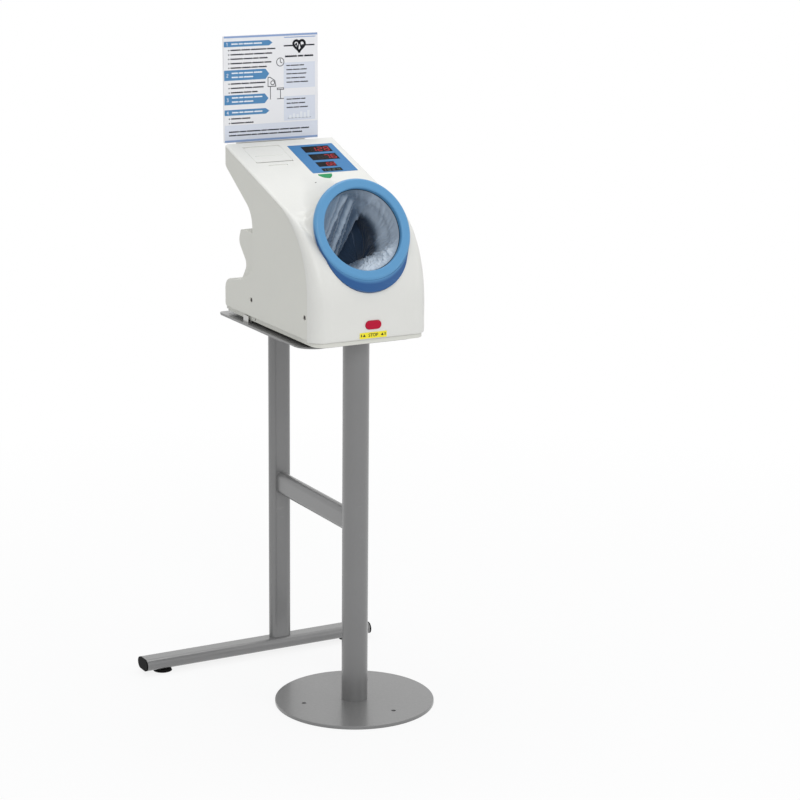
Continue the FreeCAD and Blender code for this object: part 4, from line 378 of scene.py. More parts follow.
@dataclass(frozen=True)
class Finish:
    """A painted, moulded or metal finish with grain, clouding, scuffs and dust."""

    name: str
    colour: Colour
    roughness: float = 0.4
    metallic: float = 0.0
    coat: float = 0.0
    sheen: float = 0.0
    grain_mm: float = 0.7
    grain_depth_mm: float = 0.02
    clouding: float = 0.03
    scuffs: float = 0.12
    dust: float = 0.04
    shine: float = 0.5

    def base(self, graph: Graph) -> object:
        """Give the colour before scuffs and dust: the finish's own, slightly clouded."""
        cloud = graph.group(GRAIN, Size_mm=self.grain_mm).outputs["Cloud"]
        return graph.mix(cloud, linear(self.colour, 1 - self.clouding), linear(self.colour))

    def height(self, graph: Graph) -> object:
        """Give the height that the bump follows."""
        return graph.group(GRAIN, Size_mm=self.grain_mm).outputs["Height"]

    def extras(self, graph: Graph, shader: Node) -> None:
        """Set what only some finishes need."""

    def build(self) -> bpy.types.Material:
        """Build the material.

        Returns:
            The new material.
        """
        material = bpy.data.materials.new(self.name)
        material.use_nodes = True
        material.diffuse_color = linear(self.colour)
        graph = Graph(material.node_tree)
        scuff = graph.group(SCUFFS, Amount=self.scuffs).outputs["Mask"]
        dust = graph.group(DUST, Amount=self.dust).outputs["Mask"]
        rubbed = graph.mix(scuff, self.base(graph), linear(self.colour, RUBBED_GAIN, RUBBED_LIFT))
        cloud = graph.group(GRAIN, Size_mm=self.grain_mm).outputs["Cloud"]
        low, high = (self.roughness * (1 + side * ROUGHNESS_SPREAD) for side in (-1, 1))
        rough = graph.math("ADD", graph.span(cloud, 0.0, 1.0, low, min(high, 1.0)),
                           graph.math("MULTIPLY", scuff, SCUFF_ROUGHNESS))
        rough = graph.math("ADD", rough, graph.math("MULTIPLY", dust, DUST_ROUGHNESS))
        bump = graph.fill(graph.add("Bump"), Distance=self.grain_depth_mm * MM, Strength=1.0,
                          Height=self.height(graph))
        shader = graph.fill(
            graph.add("BsdfPrincipled"), Base_Color=graph.mix(dust, rubbed, linear(DUST_COLOUR)),
            Roughness=rough, Metallic=self.metallic, Specular_IOR_Level=self.shine, Coat_Weight=self.coat,
            Coat_Roughness=LACQUER_ROUGHNESS, Sheen_Weight=self.sheen, Normal=bump.outputs["Normal"])
        self.extras(graph, shader)
        graph.fill(graph.add("OutputMaterial"), Surface=shader.outputs[0])
        return material


@dataclass(frozen=True)
class RingFinish(Finish):
    """The ring's blue plastic, with painted shade on its chin: a deeper blue below the face, where the chin
    faces down.
    """

    # The chin's deeper blue is painted shade, for the chin that faces down.
    chin_shade: Colour = (38, 88, 144)
    chin_drop: Point = (-4.2, -2.8)
    chin_rise: Point = (-12.0, 20.0)
    rim_radius: Point = (90.0, 94.0)

    def base(self, graph: Graph) -> object:
        """Give the painted shade on the chin: a deeper blue behind the ring's face, in its lower half and
        outside its own rim.

        Args:
            graph: the material's node tree.

        Returns:
            The colour's socket.
        """
        angle = math.radians(RING_TILT)
        offset = graph.vector("SUBTRACT", graph.place(), RING_CENTRE).outputs[0]
        depth = graph.vector("DOT_PRODUCT", offset, (0.0, -math.cos(angle), math.sin(angle)))
        height = graph.vector("DOT_PRODUCT", offset, (0.0, math.sin(angle), math.cos(angle)))
        radius = graph.vector("LENGTH", offset)
        behind, low, outside = (
            graph.span(node.outputs["Value"], ends[0] * MM, ends[1] * MM, start, 1.0 - start)
            for node, ends, start in ((depth, self.chin_drop, 1.0), (height, self.chin_rise, 1.0),
                                      (radius, self.rim_radius, 0.0)))
        # How much painted shade the chin gets.
        share = graph.math("MULTIPLY", graph.math("MULTIPLY", behind, outside), low)
        return graph.mix(share, super().base(graph), linear(self.chin_shade))


@dataclass(frozen=True)
class BrushedFinish(Finish):
    """Drawn or brushed metal, with fine lines along Z."""

    def height(self, graph: Graph) -> object:
        """Give fine lines that run along Z."""
        return graph.noise(graph.stretch(graph.place(), (2600.0, 2600.0, 40.0)), 1.0)


@dataclass(frozen=True)
class SleeveFinish(Finish):
    """Thin shiny nylon, woven, with painted light: a painted highlight where it is lit and crumpled, and
    painted shade deep in the folds and the passage.
    """

    # Painted highlight colour, for where the cloth is lit.
    pale: Colour = (204, 216, 228)
    # Painted shade colour, for the folds and the deep passage.
    shade_colour: Colour = (46, 68, 94)
    thread_mm: float = 0.6

    def base(self, graph: Graph) -> object:
        """Give the cloth's colour from the painted highlight and painted shade shares kept on its points.

        Args:
            graph: the material's node tree.

        Returns:
            The colour's socket.
        """
        # The pale share is painted highlight.
        pale = graph.add("Attribute", attribute_name="pale").outputs["Fac"]
        # The second share is painted shade.
        painted_shade = graph.add("Attribute", attribute_name="painted_shade").outputs["Fac"]
        plain = super().base(graph)
        return graph.mix(painted_shade, graph.mix(pale, plain, linear(self.pale)), linear(self.shade_colour))

    def height(self, graph: Graph) -> object:
        """Give the weave's height."""
        return graph.group(WEAVE, Thread_mm=self.thread_mm).outputs["Height"]


@dataclass(frozen=True)
class LitFinish(Finish):
    """A lit segment or lamp."""

    glow: float = 0.28

    def extras(self, graph: Graph, shader: Node) -> None:
        """Add the glow, a little uneven.

        Args:
            graph: the material's node tree.
            shader: its Principled BSDF.
        """
        cloud = graph.group(GRAIN, Size_mm=GLOW_GRAIN_MM).outputs["Height"]
        glow = graph.mix(cloud, linear(self.colour, GLOW_LOW), linear(self.colour))
        graph.fill(shader, Emission_Color=glow, Emission_Strength=self.glow)


@dataclass(frozen=True)
class ClearFinish(Finish):
    """Clear or smoked plastic that lets light through."""

    clear: float = 0.5
    bending: float = 1.49

    def extras(self, graph: Graph, shader: Node) -> None:
        """Let light through."""
        graph.fill(shader, Transmission_Weight=self.clear, IOR=self.bending)


@dataclass(frozen=True)
class BoardFinish(Finish):
    """A circuit board with copper tracks under green varnish."""

    def base(self, graph: Graph) -> object:
        """Give green varnish with lighter tracks.

        Args:
            graph: the material's node tree.

        Returns:
            The colour's socket.
        """
        varnish = linear(self.colour)
        tracks = graph.fill(
            graph.add("TexBrick", offset=0.5), Vector=graph.place(), Scale=120.0, Mortar_Size=0.03,
            Color1=varnish, Color2=varnish, Mortar=linear(TRACK_GREEN))
        return tracks.outputs["Color"]


PRINTED = {"roughness": 0.35, "coat": 0.15, "grain_depth_mm": 0.004}
CLEAN = {"scuffs": 0.0, "dust": 0.0}

FINISHES: dict[str, Finish] = {finish.name: finish for finish in (
    Finish("casing_white", (229, 229, 224), 0.42, coat=0.05, scuffs=0.05),
    Finish("side_grey", (222, 222, 214), 0.48, scuffs=0.08),
    # ring_blue paints shade on its downward chin as a deeper blue.
    RingFinish("ring_blue", (96, 156, 202), 0.36, coat=0.03, scuffs=0.08, shine=0.3),
    Finish("display_blue", (64, 126, 180), 0.5, shine=0.15, grain_mm=0.3, grain_depth_mm=0.005),
    Finish("window_smoke", (7, 7, 9), 0.6, shine=0.12, grain_depth_mm=0.003, scuffs=0.02, dust=0.0),
    Finish("digit_red", (60, 14, 18), 0.3),
    Finish("start_green", (16, 142, 84), 0.5, shine=0.15),
    Finish("stop_red", (188, 14, 54), 0.42, shine=0.2),
    Finish("label_yellow", (248, 234, 40), 0.45, coat=0.1, grain_depth_mm=0.006),
    Finish("stand_grey", (126, 126, 126), 0.36, 0.35, coat=0.5, grain_mm=0.9, grain_depth_mm=0.03,
           clouding=0.06, scuffs=0.2, dust=0.1),
    Finish("dark_steel", (44, 36, 36), 0.45, 0.6, grain_depth_mm=0.01),
    Finish("cap_black", (7, 7, 8), 0.6, shine=0.1, grain_mm=0.8, grain_depth_mm=0.03, scuffs=0.04, dust=0.0),
    Finish("rubber_black", (12, 12, 12), 0.8, shine=0.15, grain_mm=0.5, grain_depth_mm=0.04, dust=0.02),
    BrushedFinish("bright_steel", (190, 190, 188), 0.28, 1.0, grain_depth_mm=0.006),
    Finish("bladder_rubber", (58, 60, 66), 0.6, grain_depth_mm=0.03),
    Finish("inner_black", (44, 44, 48), 0.55),
    BoardFinish("board_green", (26, 92, 52), 0.35, coat=0.3),
    Finish("paper_white", (240, 239, 232), 0.8, grain_mm=0.25, grain_depth_mm=0.015),
    Finish("sign_face", (243, 243, 245), scuffs=0.03, **PRINTED),
    ClearFinish("hose_clear", (214, 216, 206), 0.3),
    Finish("pad_blue", (72, 92, 118), 0.75, sheen=0.2, grain_mm=1.2, grain_depth_mm=0.12),
    # The sleeve cloth's finish paints highlight and shade from shares kept on its points.
    SleeveFinish("cuff_fabric", (102, 126, 150), 0.34, sheen=0.25, grain_depth_mm=0.06, clouding=0.12,
                 **CLEAN),
    LitFinish("lit_segments", (160, 20, 36), 0.5, shine=0.15, **CLEAN),
    Finish("clock_segments", (84, 108, 98), 0.5, shine=0.15, grain_depth_mm=0.002),
    Finish("dark_segments", (22, 9, 12), 0.5, shine=0.12, grain_depth_mm=0.002, **CLEAN),
    Finish("print_blue", (74, 136, 186), **PRINTED),
    Finish("print_stripe", (140, 166, 210), **PRINTED),
    Finish("print_pale", (224, 229, 240), **PRINTED),
    Finish("print_ink", (30, 31, 40), 0.5, shine=0.2, grain_depth_mm=0.004),
    Finish("print_white", (238, 242, 247), 0.4, coat=0.1, grain_depth_mm=0.004),
)}


class Paintbox:
    """The materials, each built once when it is first asked for."""

    def __init__(self) -> None:
        """Start with no material built."""
        self.made: dict[str, bpy.types.Material] = {}

    def get(self, name: str) -> bpy.types.Material:
        """Give a finish's material, building it the first time.

        Args:
            name: the finish's name.

        Returns:
            The material.
        """
        if name not in self.made:
            self.made[name] = FINISHES[name].build()
        return self.made[name]

    def dress_nodes(self) -> None:
        """Give every CAD node the finish of its material slot."""
        for part in frame["record"]["subparts"]:
            shown = frame["nodes"][part["node"]]
            material = self.get(part["material_slot"])
            if not shown.material_slots:
                shown.data.materials.append(material)
            for slot in shown.material_slots:
                slot.material = material


PAINT = Paintbox()

# ---------------------------------------------------------------- making pieces


# How far a drawn line runs past its points, as a share of half its width.
LINE_END = 0.6

# Small strokes stand up from a dash, one for so many millimetres of it, at this pitch, and shift from dash
# to dash. Their tops are a share of the dash's height above its middle.
STROKE_EVERY, STROKE_PITCH, STROKE_SHIFT = 5.0, 4.4, 1.7
STROKE_WIDTH, STROKE_INSET, STROKE_TOP = 0.8, 0.6, 0.85


@dataclass(frozen=True)
class Print:
    """A size of small print, in millimetres: its dashes' height, the gap between them, its rows' pitch."""

    height: float
    gap: float
    pitch: float = 0.0


@dataclass
class Sheet:
    """Flat printed or cut shapes on a plane, gathered into one mesh."""

    origin: Vector
    right: Vector
    up: Vector
    lift_mm: float = 0.15
    points: list[Vector] = field(default_factory=list)
    faces: list[list[int]] = field(default_factory=list)

    def area(self, corners: list[Point]) -> None:
        """Add a filled outline.

        Args:
            corners: its corners in millimetres, right and up from the origin.
        """
        start = len(self.points)
        out = self.right.cross(self.up)
        for across, above in corners:
            spot = self.right * (across * MM) + self.up * (above * MM) + out * (self.lift_mm * MM)
            self.points.append(self.origin + spot)
        self.faces.append(list(range(start, start + len(corners))))

    def bar(self, left: float, low: float, right: float, high: float) -> None:
        """Add an upright rectangle."""
        self.area([(left, low), (right, low), (right, high), (left, high)])

    def line(self, path: list[Point], width: float) -> None:
        """Add a drawn line of even width.

        Args:
            path: the points that it runs through, in millimetres.
            width: its width in millimetres.
        """
        half = width / 2
        for (ax, ay), (bx, by) in zip(path, path[1:]):
            length = math.hypot(bx - ax, by - ay)
            ox, oy = -(by - ay) / length * half, (bx - ax) / length * half
            ex, ey = oy * LINE_END, -ox * LINE_END
            self.area([(ax - ox - ex, ay - oy - ey), (bx - ox + ex, by - oy + ey),
                       (bx + ox + ex, by + oy + ey), (ax + ox - ex, ay + oy - ey)])

    def words(self, left: float, middle: float, lengths: Sequence[float], size: Print) -> None:
        """Add a row of plain dashes that stands for a line of small print.

        Args:
            left: where the row starts.
            middle: the row's middle height.
            lengths: the length of each dash.
            size: the print's size.
        """
        place, top = left, middle + size.height / 2
        for number, length in enumerate(lengths):
            self.bar(place, middle - size.height / 2, place + length, top)
            for stroke in range(1 + int(length / STROKE_EVERY)):
                along = (stroke * STROKE_PITCH + number * STROKE_SHIFT) % max(length - 2 * STROKE_INSET, 0.1)
                foot = place + STROKE_INSET + along
                self.bar(foot, top, foot + STROKE_WIDTH, middle + size.height * STROKE_TOP)
            place += length + size.gap

    def build(self, name: str, finish: str, slot: str) -> None:
        """Make the piece.

        Args:
            name: the piece's name.
            finish: its finish.
            slot: not used.
        """
        shown = mesh_piece(name, self.points, self.faces, finish)
        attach(shown, BODY)
        log.info("%s: %d shapes", name, len(self.faces))


def mesh_piece(name: str, points: list[Vector], faces: list[list[int]], finish: str) -> bpy.types.Object:
    """Make a mesh object with a finish.

    Args:
        name: the object's name.
        points: its points in metres.
        faces: its faces.
        finish: the name of its finish.

    Returns:
        The new object, in the scene.
    """
    mesh = bpy.data.meshes.new(name)
    mesh.from_pydata([tuple(p) for p in points], [], faces)
    mesh.materials.append(PAINT.get(finish))
    mesh.update()
    shown = bpy.data.objects.new(name, mesh)
    bpy.context.scene.collection.objects.link(shown)
    return shown


# ---------------------------------------------------------------- cuff sleeve


# How far a place has to face the curtain, as a cosine, to lie on its middle part, or on it at all.
FACING_CURTAIN, FACING_LEAST = 0.3, 0.02


def turned_from(crest: float, angle: float) -> float:
    """Give how far an angle lies from a crest's angle, from -180 to 180 degrees."""
    return (angle - crest + 180) % 360 - 180


@dataclass(frozen=True)
class Pleat:
    """One long fold: its crest's angle at the mouth and deep inside, its width, its height and its ends."""

    first: float
    last: float
    width: float
    height: float
    skew: float = 0.5
    start: float = 12.0
    end: float = 190.0
    lead: Point = (-4.0, 26.0)
    tail: float = 40.0

    def rise(self, angle: float, depth: float, turn: float) -> float:
        """Find how far the fold stands in at a place.

        Args:
            angle: degrees round the open part of the passage.
            depth: millimetres behind the ring's face.
            turn: the share of the crest's turn that is done at that depth.

        Returns:
            Millimetres towards the middle.
        """
        away = turned_from(self.first + (self.last - self.first) * turn, angle)
        side = self.width * (2 * self.skew if away < 0 else 2 * (1 - self.skew))
        share = max(0.0, 1 - abs(away) / side)
        rising = smooth_step(self.start + self.lead[0], self.start + self.lead[1], depth)
        falling = 1 - smooth_step(self.end - self.tail, self.end, depth)
        return self.height * share ** 1.5 * rising * falling


@dataclass(frozen=True)
class Drape:
    """One ridge across the sagging side of the sleeve, at nearly one depth."""

    depth: float
    slant: float
    width: float
    height: float
    slant_run: float = 60.0
    front: float = 1.5
    back: float = 0.7

    def rise(self, depth: float, across: float) -> float:
        """Find how far the ridge stands in at a place.

        Args:
            depth: millimetres behind the ring's face.
            across: millimetres along the side, from its middle.

        Returns:
            Millimetres towards the middle.
        """
        away = depth - self.depth - self.slant * across / self.slant_run
        side = self.width * (self.front if away < 0 else self.back)
        return self.height * max(0.0, 1 - abs(away) / side) ** 1.4


@dataclass(frozen=True)
class Patch:
    """A soft-edged patch of the cloth: its middle angle, its spread, and where it comes and goes in depth."""

    middle: float
    spread: Point
    comes: Point
    goes: Point
    amount: float = 1.0

    def share(self, angle: float, depth: float) -> float:
        """Give how strong the patch is at a place: its amount in the middle, and nothing outside."""
        sideways = 1 - smooth_step(*self.spread, abs(turned_from(self.middle, angle)))
        return self.amount * sideways * smooth_step(*self.comes, depth) * (1 - smooth_step(*self.goes, depth))


@dataclass
class CuffSleeve:
    """The loose nylon sleeve that lines the arm passage, from the ring's lip to the drum's rear end.

    Its right wall lies on the cuff. Its left and upper side sags into the passage like a curtain, in long
    folds. Angles run round the open part of the passage in degrees, from +X towards the top. Depths are
    millimetres behind the ring's face.
    """

    first_depth: float = 10.6
    last_depth: float = 209.0
    columns: int = 480
    rows: int = 150
    flat_width: float = 0.49
    flat_length: float = 0.205
    outline: tuple[Point, ...] = (
        (10.6, 78.4), (18.0, 77.6), (40.0, 73.2), (72.0, 64.4), (152.0, 64.4), (209.0, 75.6))
    sag_way: float = 142.0
    sag_full: float = 80.0
    sag_bend: float = 0.95
    sag: tuple[Point, ...] = (
        (10.6, 78.4), (80.0, 5.0), (102.0, 14.0), (146.0, -61.0), (168.0, -57.0), (209.0, 75.6))
    sag_half_width: float = 80.0
    softness: float = 10.0
    softens: Point = (10.0, 60.0)
    drapes: tuple[Drape, ...] = (
        Drape(15, 3, 6, 3), Drape(23, 5, 5, 4), Drape(32, 3, 8, 7), Drape(43, 9, 5, 4.5), Drape(55, 6, 9, 9),
        Drape(68, 10, 5, 5.5), Drape(82, 2, 8, 6),
    )
    pleats: tuple[Pleat, ...] = (
        Pleat(58, 80, 9, 7, 0.75), Pleat(92, 138, 10, 1.5, 0.4), Pleat(118, 176, 10, 1.5, 0.4),
        Pleat(152, 204, 9, 1.5, 0.4), Pleat(196, 228, 9, 2.5, 0.45), Pleat(22, 10, 20, 4, 0.4, 40, 150),
        Pleat(344, 316, 10, 6, 0.5, 34, 150), Pleat(4, 340, 9, 5, 0.4, 22, 110),
    )
    gathers: Point = (11.0, 20.0)
    # The crumpled patch gets creases, and a painted highlight where it is lit.
    crumpled: Patch = Patch(296, (24, 58), (11, 20), (34, 76))
    crumple_mm: float = 7.0
    # Painted highlight on the right wall, where the light falls on it.
    lit_wall: Patch = Patch(350, (60, 112), (-1, 0), (60, 84), 0.72)
    bulging: Patch = Patch(268, (18, 64), (16, 58), (60, 84), 17)
    mouth_mm: float = 14.0
    ripple_lay: Point = (3.1, 0.012)
    ripples: tuple[tuple[float, float, Place], ...] = ((2.3, 2.4, (0, 0, 0)), (5.1, 0.9, (7, 3, 1)))
    crease_lay: Point = (2.6, 0.045)
    crease_scale: float = 1.6
    crease_finer: float = 1.9
    crease_fainter: float = 0.52
    crease_sharpness: float = 2.4
    crease_layers: int = 4
    least_share: float = 0.3
    # Painted highlight on the curtain's crests, as a share.
    crest_highlight: float = 0.42
    crest_mm: Point = (1.5, 6.5)
    # Painted shade: darker in the valleys between the crests, at the foot of the bulge, and deep in the
    # passage.
    valley_shade: float = 0.72
    valley_starts: Point = (12.0, 40.0)
    bulge_shade: float = 0.6
    bulge_mm: Point = (2.0, 10.0)
    depth_shade: Point = (74.0, 90.0)

    def curtain(self, depth: float) -> float:
        """Find how far from the axis the sagging side hangs.

        Args:
            depth: the depth.

        Returns:
            Millimetres towards sag_way.
        """
        (start, first), (crest, least) = self.sag[:2]
        if depth <= crest:
            return first + (least - first) * ((depth - start) / (crest - start)) ** self.sag_bend
        return follow(self.sag[1:], depth)

    def section(self, angle: float, depth: float) -> tuple[float, float, float, float]:
        """Find the cloth without its folds: the wall's circle cut off by the curtain.

        Args:
            angle: the place's angle.
            depth: its depth.

        Returns:
            The middle of the open part along sag_way, the cloth's distance from it, the curtain's share and
            the height of its ridges.
        """
        wall, hang = follow(self.outline, depth), self.curtain(depth)
        middle = (hang - wall) / 2
        away = math.radians(angle - self.sag_way)
        facing = math.cos(away)
        across = (hang - middle) * math.tan(away) if facing > FACING_CURTAIN else self.sag_half_width
        ridge = sum(drape.rise(depth, across) for drape in self.drapes) * smooth_step(*self.gathers, depth)
        beside = -middle * facing
        circle = beside + math.sqrt(max(beside * beside + wall * wall - middle * middle, 1.0))
        straight = (hang - ridge - middle) / facing if facing > FACING_LEAST else math.inf
        soft = self.softness * smooth_step(*self.softens, depth)
        near = max(0.0, 1 - abs(circle - straight) / max(soft, 0.01)) ** 2 * soft / 4
        share = smooth_step(-soft - 1, soft + 1, circle - straight)
        return middle, min(circle, straight) - near, share, ridge

    def stand_in(self, angle: float, depth: float) -> float:
        """Find how far the cloth stands in from its smooth section: ripples, crumples, pleats and bulge.

        Args:
            angle: the place's angle.
            depth: its depth.

        Returns:
            Millimetres towards the middle.
        """
        around = math.radians(angle)
        wide, fine = (Vector((math.cos(around) * round_it, math.sin(around) * round_it, depth * along))
                      for round_it, along in (self.ripple_lay, self.crease_lay))
        ripple = sum(abs(noise.noise(wide * scale + Vector(shift))) * tall
                     for scale, tall, shift in self.ripples)
        creases = sum(
            self.crease_fainter ** layer
            * (1 - abs(noise.noise(fine * (self.crease_scale * self.crease_finer ** layer)))
               * self.crease_sharpness)
            for layer in range(self.crease_layers))
        crumple = self.crumpled.share(angle, depth) * max(0.0, creases) * self.crumple_mm
        turn = min(max((depth - self.first_depth) / (self.sag_full - self.first_depth), 0.0), 1.0)
        folds = sum(pleat.rise(angle, depth, turn) for pleat in self.pleats)
        mouth = smooth_step(self.first_depth, self.first_depth + self.mouth_mm, depth)
        return mouth * (ripple + crumple) + folds + self.bulging.share(angle, depth)

    def tints(self, angle: float, depth: float, hung: float, ridge: float) -> tuple[float, float]:
        """Find the cloth's painted highlight and painted shade at a place.

        Args:
            angle: the place's angle.
            depth: its depth.
            hung: the curtain's share there.
            ridge: how high the curtain's ridges stand there, in millimetres.

        Returns:
            The painted highlight and the painted shade, each from 0 to 1.
        """
        # The pale share is painted highlight: on the crumpled patch, on the lit right wall and on the
        # curtain's crests.
        crumpled = self.crumpled.share(angle, depth)
        crest = hung * smooth_step(*self.crest_mm, ridge)
        pale = max(crumpled, self.lit_wall.share(angle, depth), self.crest_highlight * crest)
        # Painted shade in the valleys, at the foot of the bulge, and deep in the passage.
        valley = self.valley_shade * hung * (1 - crest) * smooth_step(*self.valley_starts, depth)
        foot = smooth_step(*self.bulge_mm, self.bulging.share(angle, depth))
        low = self.bulge_shade * (1 - crumpled) * foot
        return pale, min(max(valley, low) + smooth_step(*self.depth_shade, depth), 1.0)

    def build(self) -> None:
        """Make the sleeve and hang it in the passage."""
        tilt, sag = math.radians(RING_TILT), math.radians(self.sag_way)
        inward = Vector((0.0, math.cos(tilt), -math.sin(tilt)))
        above = Vector((0.0, math.sin(tilt), math.cos(tilt)))
        sag_line = ACROSS * math.cos(sag) + above * math.sin(sag)
        points: list[Vector] = []
        shades: list[tuple[float, float]] = []
        for row in range(self.rows + 1):
            depth = self.first_depth + (self.last_depth - self.first_depth) * row / self.rows
            for column in range(self.columns):
                angle = 360 * column / self.columns
                turn = math.radians(angle)
                middle, smooth, hung, ridge = self.section(angle, depth)
                radius = max(smooth - self.stand_in(angle, depth), self.least_share * smooth)
                radial = ACROSS * math.cos(turn) + above * math.sin(turn)
                spot = inward * depth + sag_line * middle + radial * radius
                points.append(Vector(RING_CENTRE) + spot * MM)
                shades.append(self.tints(angle, depth, hung, ridge))
        faces = []
        for first in range(0, self.rows * self.columns, self.columns):
            for column in range(self.columns):
                near, far = first + column, first + (column + 1) % self.columns
                faces.append([near, near + self.columns, far + self.columns, far])
        cloth = mesh_piece("cuff_sleeve_cloth", points, faces, "cuff_fabric")
        cloth.data.shade_smooth()
        # Keep the painted highlight and painted shade shares on the points.
        for name, values in zip(("pale", "painted_shade"), zip(*shades)):
            kept = cloth.data.attributes.new(name, "FLOAT", "POINT")
            kept.data.foreach_set("value", values)
        self.lay_weave(cloth.data)
        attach(cloth, BODY)
        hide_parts("cuff_sleeve")
        log.info("cuff_sleeve_cloth: %.4f square metres", sum(f.area for f in cloth.data.polygons))

    def lay_weave(self, mesh: bpy.types.Mesh) -> None:
        """Lay UVs over the cloth in metres, so that the weave keeps its thread size.

        Args:
            mesh: the cloth's mesh, with its points row by row.
        """
        layer = mesh.uv_layers.new(name="weave")
        for face in mesh.polygons:
            furthest = max(mesh.loops[i].vertex_index % self.columns for i in face.loop_indices)
            last = furthest == self.columns - 1
            for index in face.loop_indices:
                row, column = divmod(mesh.loops[index].vertex_index, self.columns)
                if last and column == 0:
                    column = self.columns
                across = column / self.columns * self.flat_width
                layer.data[index].uv = (across, row / self.rows * self.flat_length)


# ---------------------------------------------------------------- readings


SEGMENTS: dict[str, str] = {
    "0": "abcdef", "1": "bc", "2": "abdeg", "3": "abcdg", "4": "bcfg",
    "5": "acdfg", "6": "acdefg", "7": "abc", "8": "abcdefg", "9": "abcdfg",
}


@dataclass(frozen=True)
class Window:
    """One dark window of the display: its place on the slope, its size and what it reads."""

    left: float
    top: float
    width: float
    height: float
    reading: str
    finish: str = "lit_segments"


@dataclass
class Readings:
    """The seven-segment figures in the four display windows.

    A figure is tall as a share of its window, and most_pitch is a share of the window's width. The other
    shares are of the figure's own height.
    """

    top_rear: Vector = field(default_factory=lambda: Vector((0.0, 0.326, 1.062)))
    slope: float = 18.5
    lean: float = 0.14
    wide: float = 0.66
    thick: float = 0.14
    gap: float = 0.02
    tall: float = 0.7
    pitch: float = 1.12
    most_pitch: float = 0.24
    margin: float = 0.1
    lift_mm: float = 0.08
    finishes: tuple[str, ...] = ("lit_segments", "clock_segments", "dark_segments")
    windows: tuple[Window, ...] = (
        Window(29, 33, 60, 26, "128"),
        Window(29, 66.5, 60, 26, " 76"),
        Window(29, 100.5, 40, 20.5, "68"),
        Window(29, 127.5, 43, 13.5, "1024", "clock_segments"),
    )

    def face_height(self) -> float:
        """Find how far the windows' face stands out of the slope.

        Returns:
            Millimetres out of the slope's plane.
        """
        angle = math.radians(self.slope)
        out = Vector((0.0, -math.sin(angle), math.cos(angle)))
        glass = frame["nodes"]["display_windows"].data
        return max((v.co - self.top_rear).dot(out) for v in glass.vertices) / MM

    def bars(self, height: float) -> dict[str, list[Point]]:
        """Outline the seven bars of a figure that stands on the origin.

        Args:
            height: the figure's height in millimetres.

        Returns:
            The outlines by the bars' usual letters, a to g.
        """
        wide, half, gap = height * self.wide, height * self.thick / 2, height * self.gap
        middle = height / 2

        def level(y: float) -> list[Point]:
            """Outline a level bar.

            Args:
                y: its height.

            Returns:
                Its corners.
            """
            left, right = half + gap, wide - half - gap
            return [(left, y), (left + half, y - half), (right - half, y - half), (right, y),
                    (right - half, y + half), (left + half, y + half)]

        def upright(x: float, low: float, high: float) -> list[Point]:
            """Outline an upright bar.

            Args:
                x: where it stands.
                low: its foot.
                high: its top.

            Returns:
                Its corners.
            """
            low, high = low + gap, high - gap
            return [(x, low), (x + half, low + half), (x + half, high - half), (x, high),
                    (x - half, high - half), (x - half, low + half)]

        low, high = half, height - half
        return {
            "a": level(high), "b": upright(wide - half, middle, high), "c": upright(wide - half, low, middle),
            "d": level(low), "e": upright(half, low, middle), "f": upright(half, middle, high),
            "g": level(middle),
        }

    def build(self) -> None:
        """Make the lit and the dark segments."""
        angle = math.radians(self.slope)
        up = Vector((0.0, math.cos(angle), math.sin(angle)))
        lift = self.face_height() + self.lift_mm
        sheets = {name: Sheet(self.top_rear, ACROSS, up, lift) for name in self.finishes}
        for window in self.windows:
            height = window.height * self.tall
            pitch = min(height * self.pitch, window.width * self.most_pitch)
            bars = self.bars(height)
            base = -(window.top + window.height / 2 + height / 2)
            row = window.left + window.width - pitch * len(window.reading) - height * self.margin
            for place, figure in enumerate(window.reading):
                for name, outline in bars.items():
                    shown = name in SEGMENTS.get(figure, "")
                    corners = [(row + place * pitch + x + self.lean * y, base + y) for x, y in outline]
                    sheets[window.finish if shown else "dark_segments"].area(corners)
        for name, sheet in sheets.items():
            sheet.build(f"readings_{name}", name, "digit_red")


# ---------------------------------------------------------------- prints


@dataclass(frozen=True)
class Heading:
    """A blue heading: its middle and reach as shares of the board, its height in mm, and its rows."""

    middle: float
    tall: float
    reach: float
    rows: int


@dataclass(frozen=True)
class Box:
    """A pale box at the right: its base and top as shares of the board's height, and its rows."""

    base: float
    top: float
    rows: int


@dataclass(frozen=True)
class Bar:
    """A plain bar. Each edge is a share of the board's width or height and so many millimetres past it."""

    ink: Ink
    left: Point
    base: Point
    right: Point
    top: Point

    def edges(self, width: float, height: float) -> list[float]:
        """Work out the bar's edges.

        Args:
            width: the board's width.
            height: its height.

        Returns:
            The left, lower, right and upper edge.
        """
        return [share * size + past for (share, past), size in (
            (self.left, width), (self.base, height), (self.right, width), (self.top, height))]


# The strokes of the heading numbers, in millimetres from the number's left and middle.
NUMBER_STROKES: dict[int, list[Point]] = {
    1: [(2, -3), (2, 3), (0.8, 2)],
    2: [(0, 2), (1, 3), (3, 3), (3.4, 1.4), (0, -3), (3.6, -3)],
    3: [(0, 3), (3.4, 3), (1.6, 0.6), (3.4, -0.8), (3, -2.6), (1.4, -3), (0, -2.4)],
    4: [(2.6, -3), (2.6, 3), (0, -1), (3.8, -1)],
}


